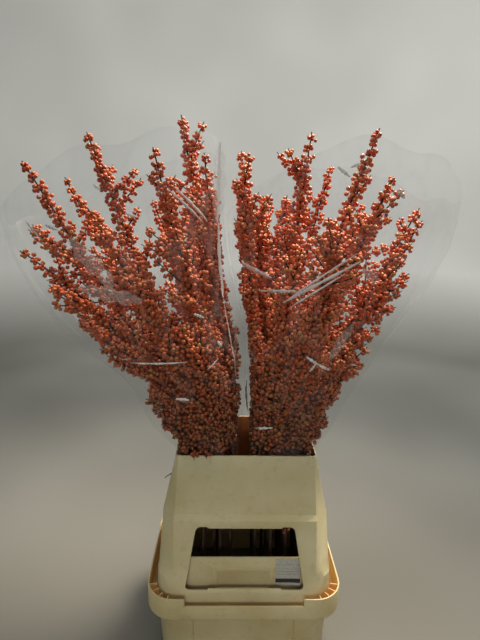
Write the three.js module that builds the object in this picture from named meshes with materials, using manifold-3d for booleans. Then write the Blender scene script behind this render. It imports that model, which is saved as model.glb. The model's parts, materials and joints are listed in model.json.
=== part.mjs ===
// Winterberry branches in a flower bucket: two film-sleeved bunches that stand in water.
// Millimetres, +Z up. The origin is the middle of the bucket's flat base, and the front faces -Y.
import * as THREE from "three";
import { mergeVertices } from "three/addons/utils/BufferGeometryUtils.js";
import Module from "manifold-3d";

const wasm = await Module();
wasm.setup();

// Bucket: half-sizes run from the centre line to the outer face
const WALL = 3;
const OVERLAP = 1;
const BUCKET_HEIGHT = 232;
const BODY = { halfX: 178.5, halfY: 131, corner: 50 };
const BASE = { halfX: 172, halfY: 124.5, corner: 46, edge: 7 };
const UPRIGHT = { halfX: 159, halfY: 114, corner: 56 };
const BRIM = { halfX: 197.5, halfY: 147.5, corner: 55, bottom: 112, top: 163, roll: 6 };
const BRIM_DIP = { halfLength: 118, depth: 16, margin: 2 };
const SHOULDER = BRIM.bottom + OVERLAP;
const CHANNEL = { floor: 118, inset: 8 };
const PANEL = { halfX: 103, halfY: 70, depth: 7, bottom: 16, top: 107 };
const CORNER_RIBS = 4;
const RIB = { thick: 2.2, bottom: 116, top: 159, spread: 66, reach: 110, room: 1 };
const NAME_FRAME = { x: -3, halfX: 60, bottom: 153, top: 207, proud: 1.2, bar: 8 };

// Collar: rings of half-sizes with cut corners, from the channel up to the opening. Going in from
// the outer face, a cut corner shrinks by this share of the way
const COLLAR_WALL = 3;
const CORNER_SHRINK = 0.6;
const COLLAR_RINGS = [
  { z: 118.4, halfX: 179.5, halfY: 134, cutX: 48, cutY: 48, round: 1 },
  { z: 162, halfX: 178, halfY: 131.5, cutX: 47, cutY: 47, round: 1 },
  { z: 194, halfX: 176, halfY: 127.5, cutX: 37, cutY: 37, round: 1 },
  { z: 208, halfX: 173, halfY: 125, cutX: 31, cutY: 30, round: 0 },
  { z: 312, halfX: 166.5, halfY: 110.5, cutX: 26, cutY: 39, round: 0 },
  { z: 320, halfX: 164, halfY: 101, cutX: 24, cutY: 31, round: 0 },
  { z: 400, halfX: 146, halfY: 94, cutX: 11, cutY: 13, round: 0 },
  { z: 442, halfX: 138, halfY: 91, cutX: 6, cutY: 6, round: 0.6 },
];
const WINDOW = { bottom: 169, top: 300, halfBottom: 119, halfTop: 97, corner: 11, step: 3, stepHalf: 72 };
const GRIP = { bottom: 328, top: 396, half: 50, corner: 4 };
const SIDE_SLOT = { bottom: 152, top: 194, half: 58, corner: 4 };

// Paper label on the bucket's front, behind the window
const LABEL = { x: 88, bottom: 168, top: 229, width: 50, thick: 0.4, gap: 0.3 };

// Water in the bucket
const WATER = { bottom: 4.3, top: 62, gap: 0.3, holeRoom: 0.5, holeFrom: -0.02, holeTo: 0.2 };

// Film sleeves: outer and inner edge and half-depth at some heights, then a slanted, arched rim
const FILM_THICK = 0.8;
const FILM_SIDES = 16;
const FILM_STEP = 840;
const FILM_TOP = 1040;
const FILMS = {
  left: {
    side: -1,
    rim: { outer: 878, inner: 1030, arch: 30 },
    rings: [
      { z: 335, outer: 140, inner: 12, depth: 88, square: 6 },
      { z: 442, outer: 134.6, inner: 14, depth: 87.4, square: 8 },
      { z: 520, outer: 204, inner: 4, depth: 120, square: 3 },
      { z: 600, outer: 246, inner: 3, depth: 152, square: 2.4 },
      { z: 680, outer: 343, inner: 12, depth: 190, square: 2.1 },
      { z: 760, outer: 397, inner: 32, depth: 213, square: 2 },
      { z: FILM_STEP, outer: 433, inner: 46, depth: 216, square: 2 },
      { z: FILM_TOP, outer: 446, inner: 56, depth: 212, square: 2 },
    ],
  },
  right: {
    side: 1,
    rim: { outer: 926, inner: 905, arch: 92 },
    rings: [
      { z: 335, outer: 140, inner: 6, depth: 88, square: 6 },
      { z: 442, outer: 134.6, inner: 8, depth: 87.4, square: 8 },
      { z: 520, outer: 182, inner: 3, depth: 120, square: 3 },
      { z: 600, outer: 222, inner: 3, depth: 150, square: 2.4 },
      { z: 680, outer: 266, inner: -6, depth: 186, square: 2.1 },
      { z: 760, outer: 320, inner: -25, depth: 213, square: 2 },
      { z: FILM_STEP, outer: 362, inner: -38, depth: 206, square: 2 },
      { z: FILM_TOP, outer: 378, inner: -46, depth: 200, square: 2 },
    ],
  },
};

// Branches: where each tip is, and how far the stem arches out (above 0) or turns up (below 0)
const TIPS = {
  left: [
    [-401, -50, 983, -0.1],
    [-387, 120, 967, -0.1],
    [-295, -20, 1037, -0.1],
    [-167, -90, 1005, 0],
    [-131, 20, 1076, 0],
    [-85, -45, 1003, 0],
    [-420, 15, 872, 0.15],
    [-410, -70, 829, 0.25],
    [-371, -36, 746, 0.45],
    [-303, -95, 700, 0.5],
    [-201, -190, 807, 0.2],
    [-128, -150, 884, 0],
    [-262, -150, 905, 0],
    [-112, -170, 700, 0.3],
    [-215, 185, 925, 0],
    [-124, 128, 950, 0],
    [-350, 150, 820, 0.2],
    [-190, 195, 740, 0.3],
  ],
  right: [
    [110, 0, 1048, 0],
    [226, -30, 1052, 0],
    [-18, 10, 1013, 0],
    [296, 80, 979, -0.1],
    [229, -100, 956, -0.1],
    [337, 34, 916, -0.1],
    [352, 50, 892, 0],
    [286, -55, 823, 0.35],
    [314, -8, 791, 0.3],
    [268, -31, 755, 0.35],
    [207, -100, 692, 0.4],
    [180, 150, 1003, 0],
    [28, 60, 935, 0],
    [82, 110, 938, 0],
    [78, -158, 848, 0],
    [138, -165, 879, 0],
    [114, -180, 760, 0.2],
    [230, 165, 870, 0.1],
    [140, 195, 760, 0.2],
  ],
};
const THROAT_Z = 442;
const FAN_APEX_Z = 300;
const THROATS = {
  left: { x: -74, halfX: 42, halfY: 69, leanX: 0.62, leanY: 0.42 },
  right: { x: 71, halfX: 45, halfY: 69, leanX: 0.55, leanY: 0.42 },
};
const STEM_SPACING = 34;
const SPACING_ROUNDS = 80;
const SPACING_PUSH = 0.25;
const FOOT_Z = 4.3;
const FOOT_SPREAD = 1.14;
const STEM = { bare: 5.2, clad: 4.4, sides: 3 };
const STEM_BEND = { out: 0.42, outByArch: -0.35, up: 0.5, upByArch: 0.55 };
const STEM_GROUPS = [
  { fromTip: 17, berries: 4 },
  { fromTip: 72, berries: 3 },
  { fromTip: 124, berries: 2 },
  { fromTip: 178, berries: 2 },
  { fromTip: 236, berries: 1 },
  { fromTip: 305, berries: 1 },
];

// Side twigs carry their berries at the tip
const GOLDEN_ANGLE = 2.399963;
const TWIG = { count: 4, tries: 7, root: 3.6, clad: 3.8, longest: 125, shortest: 50 };
const TWIG_LEAN = { from: 0.55, to: 1.05 };
const TWIG_PLACES = { from: 0.1, to: 0.84, jitter: 0.6, shorterHigh: 0.4 };
const TWIG_BEND = { middle: 0.55, upturn: 0.35 };
const TWIG_GROUPS = [{ fromTip: 13, berries: 3 }];

// Berries stand out of the wood in threes, each three turned into the gaps of the last
const BERRY = { pitch: 7.6, reach: 10.8, stagger: 1.6 };
const ROOM = { betweenBranches: 1, film: 2, filmSlope: 1.35, ballStep: 8, footSteps: 40, rootBalls: 2 };
const SEED = { first: 1000, step: 37 };

const COLOURS = {
  bucket: 0xb5a885,
  collar: 0xc4b47c,
  label: 0xd9d6cc,
  water: 0xa9b8b4,
  film: 0xe6eaec,
  berries: 0xc8552e,
};

function lerp(from, to, share) {
  return from + (to - from) * share;
}

// Seeded random numbers from 0 to 1, the same on every run
function seededRandom(seed) {
  let state = seed >>> 0;
  return () => {
    state = (state + 0x6d2b79f5) >>> 0;
    let mixed = state;
    mixed = Math.imul(mixed ^ (mixed >>> 15), mixed | 1);
    mixed ^= mixed + Math.imul(mixed ^ (mixed >>> 7), mixed | 61);
    return ((mixed ^ (mixed >>> 14)) >>> 0) / 4294967296;
  };
}

// Geometry to solid and back; faces that a merged tip has flattened are dropped
function solidOf(geometry) {
  const bare = geometry.clone();
  bare.deleteAttribute("normal");
  bare.deleteAttribute("uv");
  const merged = mergeVertices(bare, 1e-4);
  const corners = merged.index.array;
  const faces = [];
  for (let at = 0; at < corners.length; at += 3) {
    const [a, b, c] = corners.slice(at, at + 3);
    if (a !== b && b !== c && c !== a) {
      faces.push(a, b, c);
    }
  }
  const vertProperties = new Float32Array(merged.attributes.position.array);
  const triVerts = new Uint32Array(faces);
  return new wasm.Manifold(new wasm.Mesh({ numProp: 3, vertProperties, triVerts }));
}

function geometryOf(solid) {
  const mesh = solid.getMesh();
  const geometry = new THREE.BufferGeometry();
  geometry.setAttribute("position", new THREE.BufferAttribute(new Float32Array(mesh.vertProperties), 3));
  geometry.setIndex(new THREE.BufferAttribute(new Uint32Array(mesh.triVerts), 1));
  geometry.computeVertexNormals();
  return geometry;
}

// The largest body of a fused solid: scraps and sealed hollows are left out
function mainBody(solid) {
  const bodies = solid.decompose();
  return bodies.reduce((best, body) => (body.volume() > best.volume() ? body : best));
}

function meshOf(points, faces) {
  const geometry = new THREE.BufferGeometry();
  const numbers = new Float32Array(points.flatMap((point) => [point.x, point.y, point.z]));
  geometry.setAttribute("position", new THREE.BufferAttribute(numbers, 3));
  geometry.setIndex(faces);
  return geometry;
}

// Skin through rings of equal point counts that run anticlockwise seen from the last ring
function loft(rings) {
  const sides = rings[0].length;
  const faces = [];
  for (let ring = 0; ring < rings.length - 1; ring++) {
    const low = ring * sides;
    const high = low + sides;
    for (let side = 0; side < sides; side++) {
      const next = (side + 1) % sides;
      faces.push(low + side, low + next, high + next);
      faces.push(low + side, high + next, high + side);
    }
  }
  const last = (rings.length - 1) * sides;
  for (let side = 1; side < sides - 1; side++) {
    faces.push(0, side + 1, side);
    faces.push(last, last + side, last + side + 1);
  }
  return meshOf(rings.flat(), faces);
}

// Rectangle with cut or rounded corners, anticlockwise seen from above
const CORNER_STEPS = 3;
function cornerRing(z, halfX, halfY, cutX, cutY, round = 1) {
  const points = [];
  const quadrants = [[1, 1], [-1, 1], [-1, -1], [1, -1]];
  quadrants.forEach(([signX, signY], quadrant) => {
    for (let step = 0; step <= CORNER_STEPS; step++) {
      const forward = quadrant % 2 === 0 ? step : CORNER_STEPS - step;
      const share = forward / CORNER_STEPS;
      const angle = share * Math.PI / 2;
      const x = halfX - cutX + cutX * lerp(1 - share, Math.cos(angle), round);
      const y = halfY - cutY + cutY * lerp(share, Math.sin(angle), round);
      points.push(new THREE.Vector3(signX * x, signY * y, z));
    }
  });
  return points;
}

function roundedRing(z, size, inset = 0) {
  const corner = Math.max(size.corner - inset, 1);
  return cornerRing(z, size.halfX - inset, size.halfY - inset, corner, corner);
}

function box(x0, x1, y0, y1, z0, z1) {
  const geometry = new THREE.BoxGeometry(x1 - x0, y1 - y0, z1 - z0);
  geometry.translate((x0 + x1) / 2, (y0 + y1) / 2, (z0 + z1) / 2);
  return solidOf(geometry);
}

// Recessed panels between the bucket's corner posts, grown inwards by the given amount
function panelBoxes(grow) {
  const { halfX, halfY, depth, bottom, top } = PANEL;
  const far = 260;
  const boxes = [];
  for (const sign of [-1, 1]) {
    const y = sign * (BODY.halfY - depth - grow);
    const x = sign * (BODY.halfX - depth - grow);
    boxes.push(box(-halfX - grow, halfX + grow, Math.min(y, sign * far), Math.max(y, sign * far),
      bottom - grow, top + grow));
    boxes.push(box(Math.min(x, sign * far), Math.max(x, sign * far), -halfY - grow, halfY + grow,
      bottom - grow, top + grow));
  }
  return wasm.Manifold.union(boxes);
}

// Outer form of the brim, rolled under at its foot, or that form drawn in by the inset
function brimForm(inset) {
  return solidOf(loft([
    roundedRing(BRIM.bottom, BRIM, BRIM.roll + inset),
    roundedRing(BRIM.bottom + BRIM.roll, BRIM, inset),
    roundedRing(BRIM.top, BRIM, inset),
  ]));
}

// Thin radial ribs that bridge the channel at the brim's corners
function cornerRibs() {
  const ribs = [];
  const spread = THREE.MathUtils.degToRad(RIB.spread);
  for (const signX of [-1, 1]) {
    for (const signY of [-1, 1]) {
      const centreX = signX * (BRIM.halfX - BRIM.corner);
      const centreY = signY * (BRIM.halfY - BRIM.corner);
      for (let rib = 0; rib < CORNER_RIBS; rib++) {
        const angle = Math.PI / 4 + spread * (rib / (CORNER_RIBS - 1) - 0.5);
        const geometry = new THREE.BoxGeometry(RIB.reach, RIB.thick, RIB.top - RIB.bottom);
        geometry.translate(RIB.reach / 2, 0, (RIB.top + RIB.bottom) / 2);
        geometry.rotateZ(Math.atan2(signY * Math.sin(angle), signX * Math.cos(angle)));
        geometry.translate(centreX, centreY, 0);
        ribs.push(solidOf(geometry));
      }
    }
  }
  // Ribs live only in the channel, between the collar's foot and the brim's wall
  const foot = COLLAR_RINGS[0];
  const inside = solidOf(loft([BRIM.bottom - OVERLAP, BRIM.top + OVERLAP].map((z) => (
    cornerRing(z, foot.halfX + RIB.room, foot.halfY + RIB.room, foot.cutX + RIB.room, foot.cutY + RIB.room)
  ))));
  return wasm.Manifold.union(ribs).intersect(brimForm(WALL / 2)).subtract(inside);
}

function bucketSolid() {
  const outer = solidOf(loft([
    roundedRing(0, BASE, BASE.edge),
    roundedRing(BASE.edge, BASE),
    roundedRing(SHOULDER, BODY),
    roundedRing(SHOULDER + OVERLAP, UPRIGHT),
    roundedRing(BUCKET_HEIGHT, UPRIGHT),
  ]));
  const channel = solidOf(loft([
    roundedRing(CHANNEL.floor, BRIM, CHANNEL.inset),
    roundedRing(BRIM.bottom + BRIM.roll + WALL, BRIM, WALL),
    roundedRing(BRIM.top + OVERLAP, BRIM, WALL),
  ]));
  const upright = solidOf(loft([
    roundedRing(CHANNEL.floor - OVERLAP, UPRIGHT),
    roundedRing(BRIM.top + 2 * OVERLAP, UPRIGHT),
  ]));
  const dips = [-1, 1].map((sign) => {
    const near = sign * (BRIM.halfY - WALL - BRIM_DIP.margin);
    const far = sign * (BRIM.halfY + BRIM_DIP.margin);
    return box(-BRIM_DIP.halfLength, BRIM_DIP.halfLength, Math.min(near, far), Math.max(near, far),
      BRIM.top - BRIM_DIP.depth, BRIM.top + OVERLAP);
  });
  const cavityBody = solidOf(loft([
    roundedRing(WALL, BASE, BASE.edge + OVERLAP),
    roundedRing(BASE.edge + WALL, BASE, WALL),
    roundedRing(BRIM.bottom - WALL - OVERLAP, BODY, WALL),
    roundedRing(SHOULDER + OVERLAP, UPRIGHT, WALL),
    roundedRing(BUCKET_HEIGHT + OVERLAP, UPRIGHT, WALL),
  ]));
  const cavity = cavityBody.subtract(panelBoxes(WALL));
  const front = -UPRIGHT.halfY;
  const { x, halfX, bottom, top, bar } = NAME_FRAME;
  const frames = [
    [x - halfX, x + halfX, top - bar, top],
    [x - halfX, x + halfX, bottom, bottom + bar],
    [x - halfX, x - halfX + bar, bottom, top],
    [x + halfX - bar, x + halfX, bottom, top],
  ].map(([x0, x1, z0, z1]) => box(x0, x1, front - NAME_FRAME.proud, front + OVERLAP, z0, z1));
  return outer
    .subtract(panelBoxes(0))
    .add(brimForm(0).subtract(channel).add(upright).add(cornerRibs()))
    .subtract(wasm.Manifold.union(dips))
    .add(wasm.Manifold.union(frames))
    .subtract(cavity);
}

// Window outline: a trapezoid with rounded corners and a stepped middle, drawn in X and Z
function windowShape(bottom, top, halfBottom, halfTop, corner, step = 0, stepHalf = 0) {
  const lean = (halfBottom - halfTop) / (top - bottom);
  const shape = new THREE.Shape();
  shape.moveTo(-halfBottom + corner, bottom);
  if (step > 0) {
    shape.lineTo(-stepHalf - step, bottom);
    shape.lineTo(-stepHalf, bottom + step);
    shape.lineTo(stepHalf, bottom + step);
    shape.lineTo(stepHalf + step, bottom);
  }
  shape.lineTo(halfBottom - corner, bottom);
  shape.quadraticCurveTo(halfBottom, bottom, halfBottom - lean * corner, bottom + corner);
  shape.lineTo(halfTop + lean * corner, top - corner);
  shape.quadraticCurveTo(halfTop, top, halfTop - corner, top);
  if (step > 0) {
    shape.lineTo(stepHalf + step, top);
    shape.lineTo(stepHalf, top - step);
    shape.lineTo(-stepHalf, top - step);
    shape.lineTo(-stepHalf - step, top);
  }
  shape.lineTo(-halfTop + corner, top);
  shape.quadraticCurveTo(-halfTop, top, -halfTop - lean * corner, top - corner);
  shape.lineTo(-halfBottom + lean * corner, bottom + corner);
  shape.quadraticCurveTo(-halfBottom, bottom, -halfBottom + corner, bottom);
  return shape;
}

// Cutter through the collar from front to back, or from side to side
function windowCutter(shape, sideways) {
  const past = 20;
  const length = 2 * (COLLAR_RINGS[0].halfX + past);
  const geometry = new THREE.ExtrudeGeometry(shape, { depth: length, bevelEnabled: false, curveSegments: 3 });
  geometry.translate(0, 0, -length / 2);
  geometry.rotateX(Math.PI / 2);
  if (sideways) {
    geometry.rotateZ(Math.PI / 2);
  }
  return solidOf(geometry);
}

function collarSolid() {
  const ringAt = (ring, inset, z = ring.z) => cornerRing(z, ring.halfX - inset, ring.halfY - inset,
    ring.cutX - CORNER_SHRINK * inset, ring.cutY - CORNER_SHRINK * inset, ring.round);
  const outer = solidOf(loft(COLLAR_RINGS.map((ring) => ringAt(ring, 0))));
  const last = COLLAR_RINGS.length - 1;
  const innerRings = COLLAR_RINGS.map((ring, index) => {
    const past = index === 0 ? -OVERLAP : index === last ? OVERLAP : 0;
    return ringAt(ring, COLLAR_WALL, ring.z + past);
  });
  const inner = solidOf(loft(innerRings));
  const front = windowShape(WINDOW.bottom, WINDOW.top, WINDOW.halfBottom, WINDOW.halfTop,
    WINDOW.corner, WINDOW.step, WINDOW.stepHalf);
  const grip = windowShape(GRIP.bottom, GRIP.top, GRIP.half, GRIP.half, GRIP.corner);
  const slot = windowShape(SIDE_SLOT.bottom, SIDE_SLOT.top, SIDE_SLOT.half, SIDE_SLOT.half, SIDE_SLOT.corner);
  return outer
    .subtract(inner)
    .subtract(windowCutter(front, false))
    .subtract(windowCutter(grip, true))
    .subtract(windowCutter(slot, true));
}

function labelSolid() {
  const near = -UPRIGHT.halfY - LABEL.gap;
  return box(LABEL.x - LABEL.width / 2, LABEL.x + LABEL.width / 2, near - LABEL.thick, near,
    LABEL.bottom, LABEL.top);
}

// Film section at a height: superellipse points by column, as [x, y]
function filmSection(film, z) {
  const rings = film.rings;
  let index = rings.length - 2;
  while (index > 0 && z < rings[index].z) {
    index -= 1;
  }
  const low = rings[index];
  const high = rings[index + 1];
  const share = (z - low.z) / (high.z - low.z);
  const points = [];
  for (let column = 0; column < FILM_SIDES; column++) {
    const [x0, y0] = sectionPoint(film, low, column);
    const [x1, y1] = sectionPoint(film, high, column);
    points.push([lerp(x0, x1, share), lerp(y0, y1, share)]);
  }
  return points;
}

function columnAngle(column) {
  return (column + 0.5) * 2 * Math.PI / FILM_SIDES;
}

function sectionPoint(film, ring, column) {
  const angle = columnAngle(column);
  const power = 2 / ring.square;
  const across = Math.sign(Math.cos(angle)) * Math.abs(Math.cos(angle)) ** power;
  const along = Math.sign(Math.sin(angle)) * Math.abs(Math.sin(angle)) ** power;
  const centre = film.side * (ring.outer + ring.inner) / 2;
  return [centre + across * (ring.outer - ring.inner) / 2, along * ring.depth];
}

// Rim height by column: low outside, higher towards the middle, arched between
function rimHeight(film, column) {
  const outward = film.side * Math.cos(columnAngle(column));
  return lerp(film.rim.inner, film.rim.outer, (1 + outward) / 2) + film.rim.arch * (1 - outward ** 2);
}

function filmRings(film, inset) {
  const heights = film.rings.slice(0, -1).map((ring) => ring.z);
  const rings = heights.map((z) => filmSection(film, z).map(([x, y]) => [x, y, z]));
  const rim = [];
  for (let column = 0; column < FILM_SIDES; column++) {
    const z = rimHeight(film, column);
    const [x, y] = filmSection(film, z)[column];
    rim.push([x, y, z]);
  }
  rings.push(rim);
  return rings.map((ring) => insetRing(ring, inset));
}

// Ring moved inwards in its own height by the inset
function insetRing(ring, inset) {
  return ring.map(([x, y, z], index) => {
    const [xBefore, yBefore] = ring[(index + ring.length - 1) % ring.length];
    const [xAfter, yAfter] = ring[(index + 1) % ring.length];
    const tangentX = xAfter - xBefore;
    const tangentY = yAfter - yBefore;
    const length = Math.hypot(tangentX, tangentY);
    return new THREE.Vector3(x - inset * tangentY / length, y + inset * tangentX / length, z);
  });
}

// Open-ended sheet with an outer and an inner face, both split into triangles alike
function filmGeometry(film) {
  const outer = filmRings(film, 0);
  const inner = filmRings(film, FILM_THICK);
  const behind = outer.length * FILM_SIDES;
  const top = (outer.length - 1) * FILM_SIDES;
  const faces = [];
  for (let side = 0; side < FILM_SIDES; side++) {
    const next = (side + 1) % FILM_SIDES;
    for (let low = 0; low < top; low += FILM_SIDES) {
      const high = low + FILM_SIDES;
      faces.push(low + side, low + next, high + next);
      faces.push(low + side, high + next, high + side);
      faces.push(behind + low + side, behind + high + next, behind + low + next);
      faces.push(behind + low + side, behind + high + side, behind + high + next);
    }
    faces.push(next, side, behind + side);
    faces.push(next, behind + side, behind + next);
    faces.push(top + side, top + next, behind + top + next);
    faces.push(top + side, behind + top + next, behind + top + side);
  }
  return meshOf([...outer, ...inner].flat(), faces);
}

// Room from a point to the film's wall, inwards at its height; negative outside
function filmRoom(film, point) {
  const section = filmSection(film, Math.max(point.z, film.rings[0].z));
  let room = Infinity;
  for (let column = 0; column < FILM_SIDES; column++) {
    const [x0, y0] = section[column];
    const [x1, y1] = section[(column + 1) % FILM_SIDES];
    const length = Math.hypot(x1 - x0, y1 - y0);
    const away = ((x1 - x0) * (point.y - y0) - (y1 - y0) * (point.x - x0)) / length;
    room = Math.min(room, away);
  }
  return room;
}

function topRim(film) {
  return Math.max(...Array.from({ length: FILM_SIDES }, (_, column) => rimHeight(film, column)));
}

// A ball is clear of the films when it is well inside its own and out of the other one
function clearOfFilms(ball, own, other) {
  const margin = (ball.radius + ROOM.film) * ROOM.filmSlope + FILM_THICK;
  const insideOwn = filmRoom(own, ball.centre) > margin;
  const aboveOwn = ball.centre.z > topRim(own) + margin;
  const outsideOther = filmRoom(other, ball.centre) < -margin;
  const aboveOther = ball.centre.z > topRim(other) + margin;
  return (insideOwn || aboveOwn) && (outsideOther || aboveOther);
}

// Places of the stems in the throat: spread by the way each tip leans, then pushed apart evenly
function throatPlaces(tips, throat) {
  const places = tips.map(([x, y, z]) => {
    const rise = z - FAN_APEX_Z;
    const across = (x - throat.x) / rise / throat.leanX;
    const along = y / rise / throat.leanY;
    return [throat.x + across * throat.halfX, along * throat.halfY];
  });
  for (let round = 0; round < SPACING_ROUNDS; round++) {
    for (let first = 0; first < places.length; first++) {
      for (let second = first + 1; second < places.length; second++) {
        const apartX = places[second][0] - places[first][0];
        const apartY = places[second][1] - places[first][1];
        const apart = Math.hypot(apartX, apartY) + Number.EPSILON;
        if (apart < STEM_SPACING) {
          const push = SPACING_PUSH * (STEM_SPACING - apart) / apart;
          places[first][0] -= apartX * push;
          places[first][1] -= apartY * push;
          places[second][0] += apartX * push;
          places[second][1] += apartY * push;
        }
      }
    }
    for (const place of places) {
      place[0] = THREE.MathUtils.clamp(place[0], throat.x - throat.halfX, throat.x + throat.halfX);
      place[1] = THREE.MathUtils.clamp(place[1], -throat.halfY, throat.halfY);
    }
  }
  return places;
}

// Half-width of a shoot with its berries, for testing its room
function shootReach(distance, length) {
  return distance > length - STEM_GROUPS[0].fromTip / 2 ? STEM.clad : BERRY.reach;
}

function makeStem(tip, place, throat) {
  const [x, y, z, arch] = tip;
  const out = STEM_BEND.out + STEM_BEND.outByArch * arch;
  const up = STEM_BEND.up + STEM_BEND.upByArch * arch;
  const foot = new THREE.Vector3(
    throat.x + (place[0] - throat.x) * FOOT_SPREAD,
    place[1] * FOOT_SPREAD,
    FOOT_Z,
  );
  const neck = new THREE.Vector3(place[0], place[1], THROAT_Z);
  const bend = new THREE.Vector3(lerp(neck.x, x, out), lerp(neck.y, y, out), lerp(THROAT_Z, z, up));
  return { foot, neck, curve: new THREE.QuadraticBezierCurve3(neck, bend, new THREE.Vector3(x, y, z)) };
}

// Balls along a curve stand for the shoot when rooms are tested
function curveBalls(curve, branch, extra) {
  const length = curve.getLength();
  const steps = Math.ceil(length / ROOM.ballStep);
  const balls = [];
  for (let step = 0; step <= steps; step++) {
    const centre = curve.getPointAt(step / steps);
    balls.push({ centre, radius: shootReach(length * step / steps, length) + extra, branch });
  }
  return balls;
}

// Balls along the bare lower stem
function footBalls(stem) {
  return Array.from({ length: ROOM.footSteps }, (_, step) => ({
    centre: stem.foot.clone().lerp(stem.neck, step / ROOM.footSteps),
    radius: STEM.bare + ROOM.betweenBranches,
    branch: stem.branch,
  }));
}

function clearOfOthers(ball, balls) {
  return balls.every((other) => other.branch === ball.branch
    || other.centre.distanceTo(ball.centre) > other.radius + ball.radius);
}

// A direction square to the axis, turned about it by the angle
function sideways(axis, angle) {
  const helper = Math.abs(axis.z) < 0.9 ? new THREE.Vector3(0, 0, 1) : new THREE.Vector3(1, 0, 0);
  const first = new THREE.Vector3().crossVectors(helper, axis).normalize();
  const second = new THREE.Vector3().crossVectors(axis, first);
  return first.multiplyScalar(Math.cos(angle)).addScaledVector(second, Math.sin(angle));
}

// A side twig leaves the stem at a slant and turns up towards its tip
function makeTwig(stem, share, length, lean, angle) {
  const root = stem.curve.getPointAt(share);
  const axis = stem.curve.getTangentAt(share);
  const away = sideways(axis, angle);
  const start = axis.multiplyScalar(Math.cos(lean)).addScaledVector(away, Math.sin(lean));
  const end = start.clone().add(new THREE.Vector3(0, 0, TWIG_BEND.upturn)).normalize();
  const middle = root.clone().addScaledVector(start, length * TWIG_BEND.middle);
  const tip = middle.clone().addScaledVector(end, length * (1 - TWIG_BEND.middle));
  return new THREE.QuadraticBezierCurve3(root, middle, tip);
}

function addTwigs(stem, random, own, other, balls) {
  stem.twigs = [];
  for (let index = 0; index < TWIG.count; index++) {
    const place = (index + random() * TWIG_PLACES.jitter) / TWIG.count;
    const share = lerp(TWIG_PLACES.from, TWIG_PLACES.to, place);
    let angle = random() * 2 * Math.PI;
    for (let attempt = 0; attempt < TWIG.tries; attempt++) {
      const tried = 1 - attempt / TWIG.tries;
      const length = lerp(TWIG.shortest, TWIG.longest, tried * (1 - TWIG_PLACES.shorterHigh * share));
      const lean = lerp(TWIG_LEAN.from, TWIG_LEAN.to, random());
      const twig = makeTwig(stem, share, length, lean, angle);
      angle += GOLDEN_ANGLE;
      const tests = curveBalls(twig, stem.branch, 0).slice(ROOM.rootBalls);
      if (tests.every((ball) => clearOfOthers(ball, balls) && clearOfFilms(ball, own, other))) {
        stem.twigs.push(twig);
        balls.push(...curveBalls(twig, stem.branch, ROOM.betweenBranches));
        break;
      }
    }
  }
}

// Rings along a shoot: narrow ones, and between them wide ones whose three corners are berries
function shootRings(curve, groups, root, clad) {
  const length = curve.getLength();
  const gapTurn = Math.PI / STEM.sides;
  const rings = [{ distance: length, radius: 0, turn: 0, stagger: 0 }];
  let turn = 0;
  for (const { fromTip, berries } of groups) {
    const first = length - fromTip;
    const last = first - berries * BERRY.pitch;
    if (last < BERRY.pitch) {
      continue;
    }
    rings.push({ distance: first, radius: clad, turn, stagger: 0 });
    for (let berry = 0; berry < berries; berry++) {
      turn += gapTurn;
      const distance = first - (berry + 0.5) * BERRY.pitch;
      rings.push({ distance, radius: BERRY.reach, turn, stagger: BERRY.stagger });
    }
    turn += gapTurn;
    rings.push({ distance: last, radius: clad, turn, stagger: 0 });
  }
  rings.push({ distance: 0, radius: root, turn, stagger: 0 });
  return rings.reverse().map((ring) => {
    const share = ring.distance / length;
    return { ...ring, point: curve.getPointAt(share), axis: curve.getTangentAt(share) };
  });
}

// Square to the plane that a curve bends in, so that its rings never twist
function bendNormal(curve) {
  const start = curve.getTangentAt(0);
  const normal = new THREE.Vector3().crossVectors(start, curve.getTangentAt(1));
  return normal.length() > 1e-3 ? normal.normalize() : sideways(start, 0);
}

// Three-sided tube through rings; a ring's first corner lies towards the normal, before its turn
function tube(rings, normal) {
  return loft(rings.map(({ point, axis, radius, turn, stagger }) => {
    const second = new THREE.Vector3().crossVectors(axis, normal).normalize();
    const ring = [];
    for (let side = 0; side < STEM.sides; side++) {
      const angle = turn + side * 2 * Math.PI / STEM.sides;
      ring.push(point.clone()
        .addScaledVector(axis, stagger * (side - 1))
        .addScaledVector(normal, radius * Math.cos(angle))
        .addScaledVector(second, radius * Math.sin(angle)));
    }
    return ring;
  }));
}

function twigSolid(twig) {
  return solidOf(tube(shootRings(twig, TWIG_GROUPS, TWIG.root, TWIG.clad), bendNormal(twig)));
}

// Stem from its level foot in the water up to its tip
function stemSolid(stem) {
  const axis = stem.neck.clone().sub(stem.foot).normalize();
  const shoot = shootRings(stem.curve, STEM_GROUPS, STEM.bare, STEM.clad);
  const rings = [{ ...shoot[0], point: stem.foot, axis }, ...shoot];
  const geometry = tube(rings, bendNormal(stem.curve));
  for (let side = 0; side < STEM.sides; side++) {
    geometry.attributes.position.setZ(side, FOOT_Z);
  }
  return solidOf(geometry);
}

function branchSolid(stem) {
  return mainBody(wasm.Manifold.union([stemSolid(stem), ...stem.twigs.map(twigSolid)]));
}

function growBranches() {
  const stems = [];
  for (const name of ["left", "right"]) {
    const places = throatPlaces(TIPS[name], THROATS[name]);
    TIPS[name].forEach((tip, index) => {
      const stem = makeStem(tip, places[index], THROATS[name]);
      stem.name = name;
      stem.number = index + 1;
      stem.branch = stems.length;
      stems.push(stem);
    });
  }
  const balls = stems.flatMap((stem) => [
    ...footBalls(stem),
    ...curveBalls(stem.curve, stem.branch, ROOM.betweenBranches),
  ]);
  for (const stem of stems) {
    const random = seededRandom(SEED.first + SEED.step * stem.branch);
    const own = FILMS[stem.name];
    const other = own === FILMS.left ? FILMS.right : FILMS.left;
    addTwigs(stem, random, own, other, balls);
  }
  return stems;
}

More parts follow.
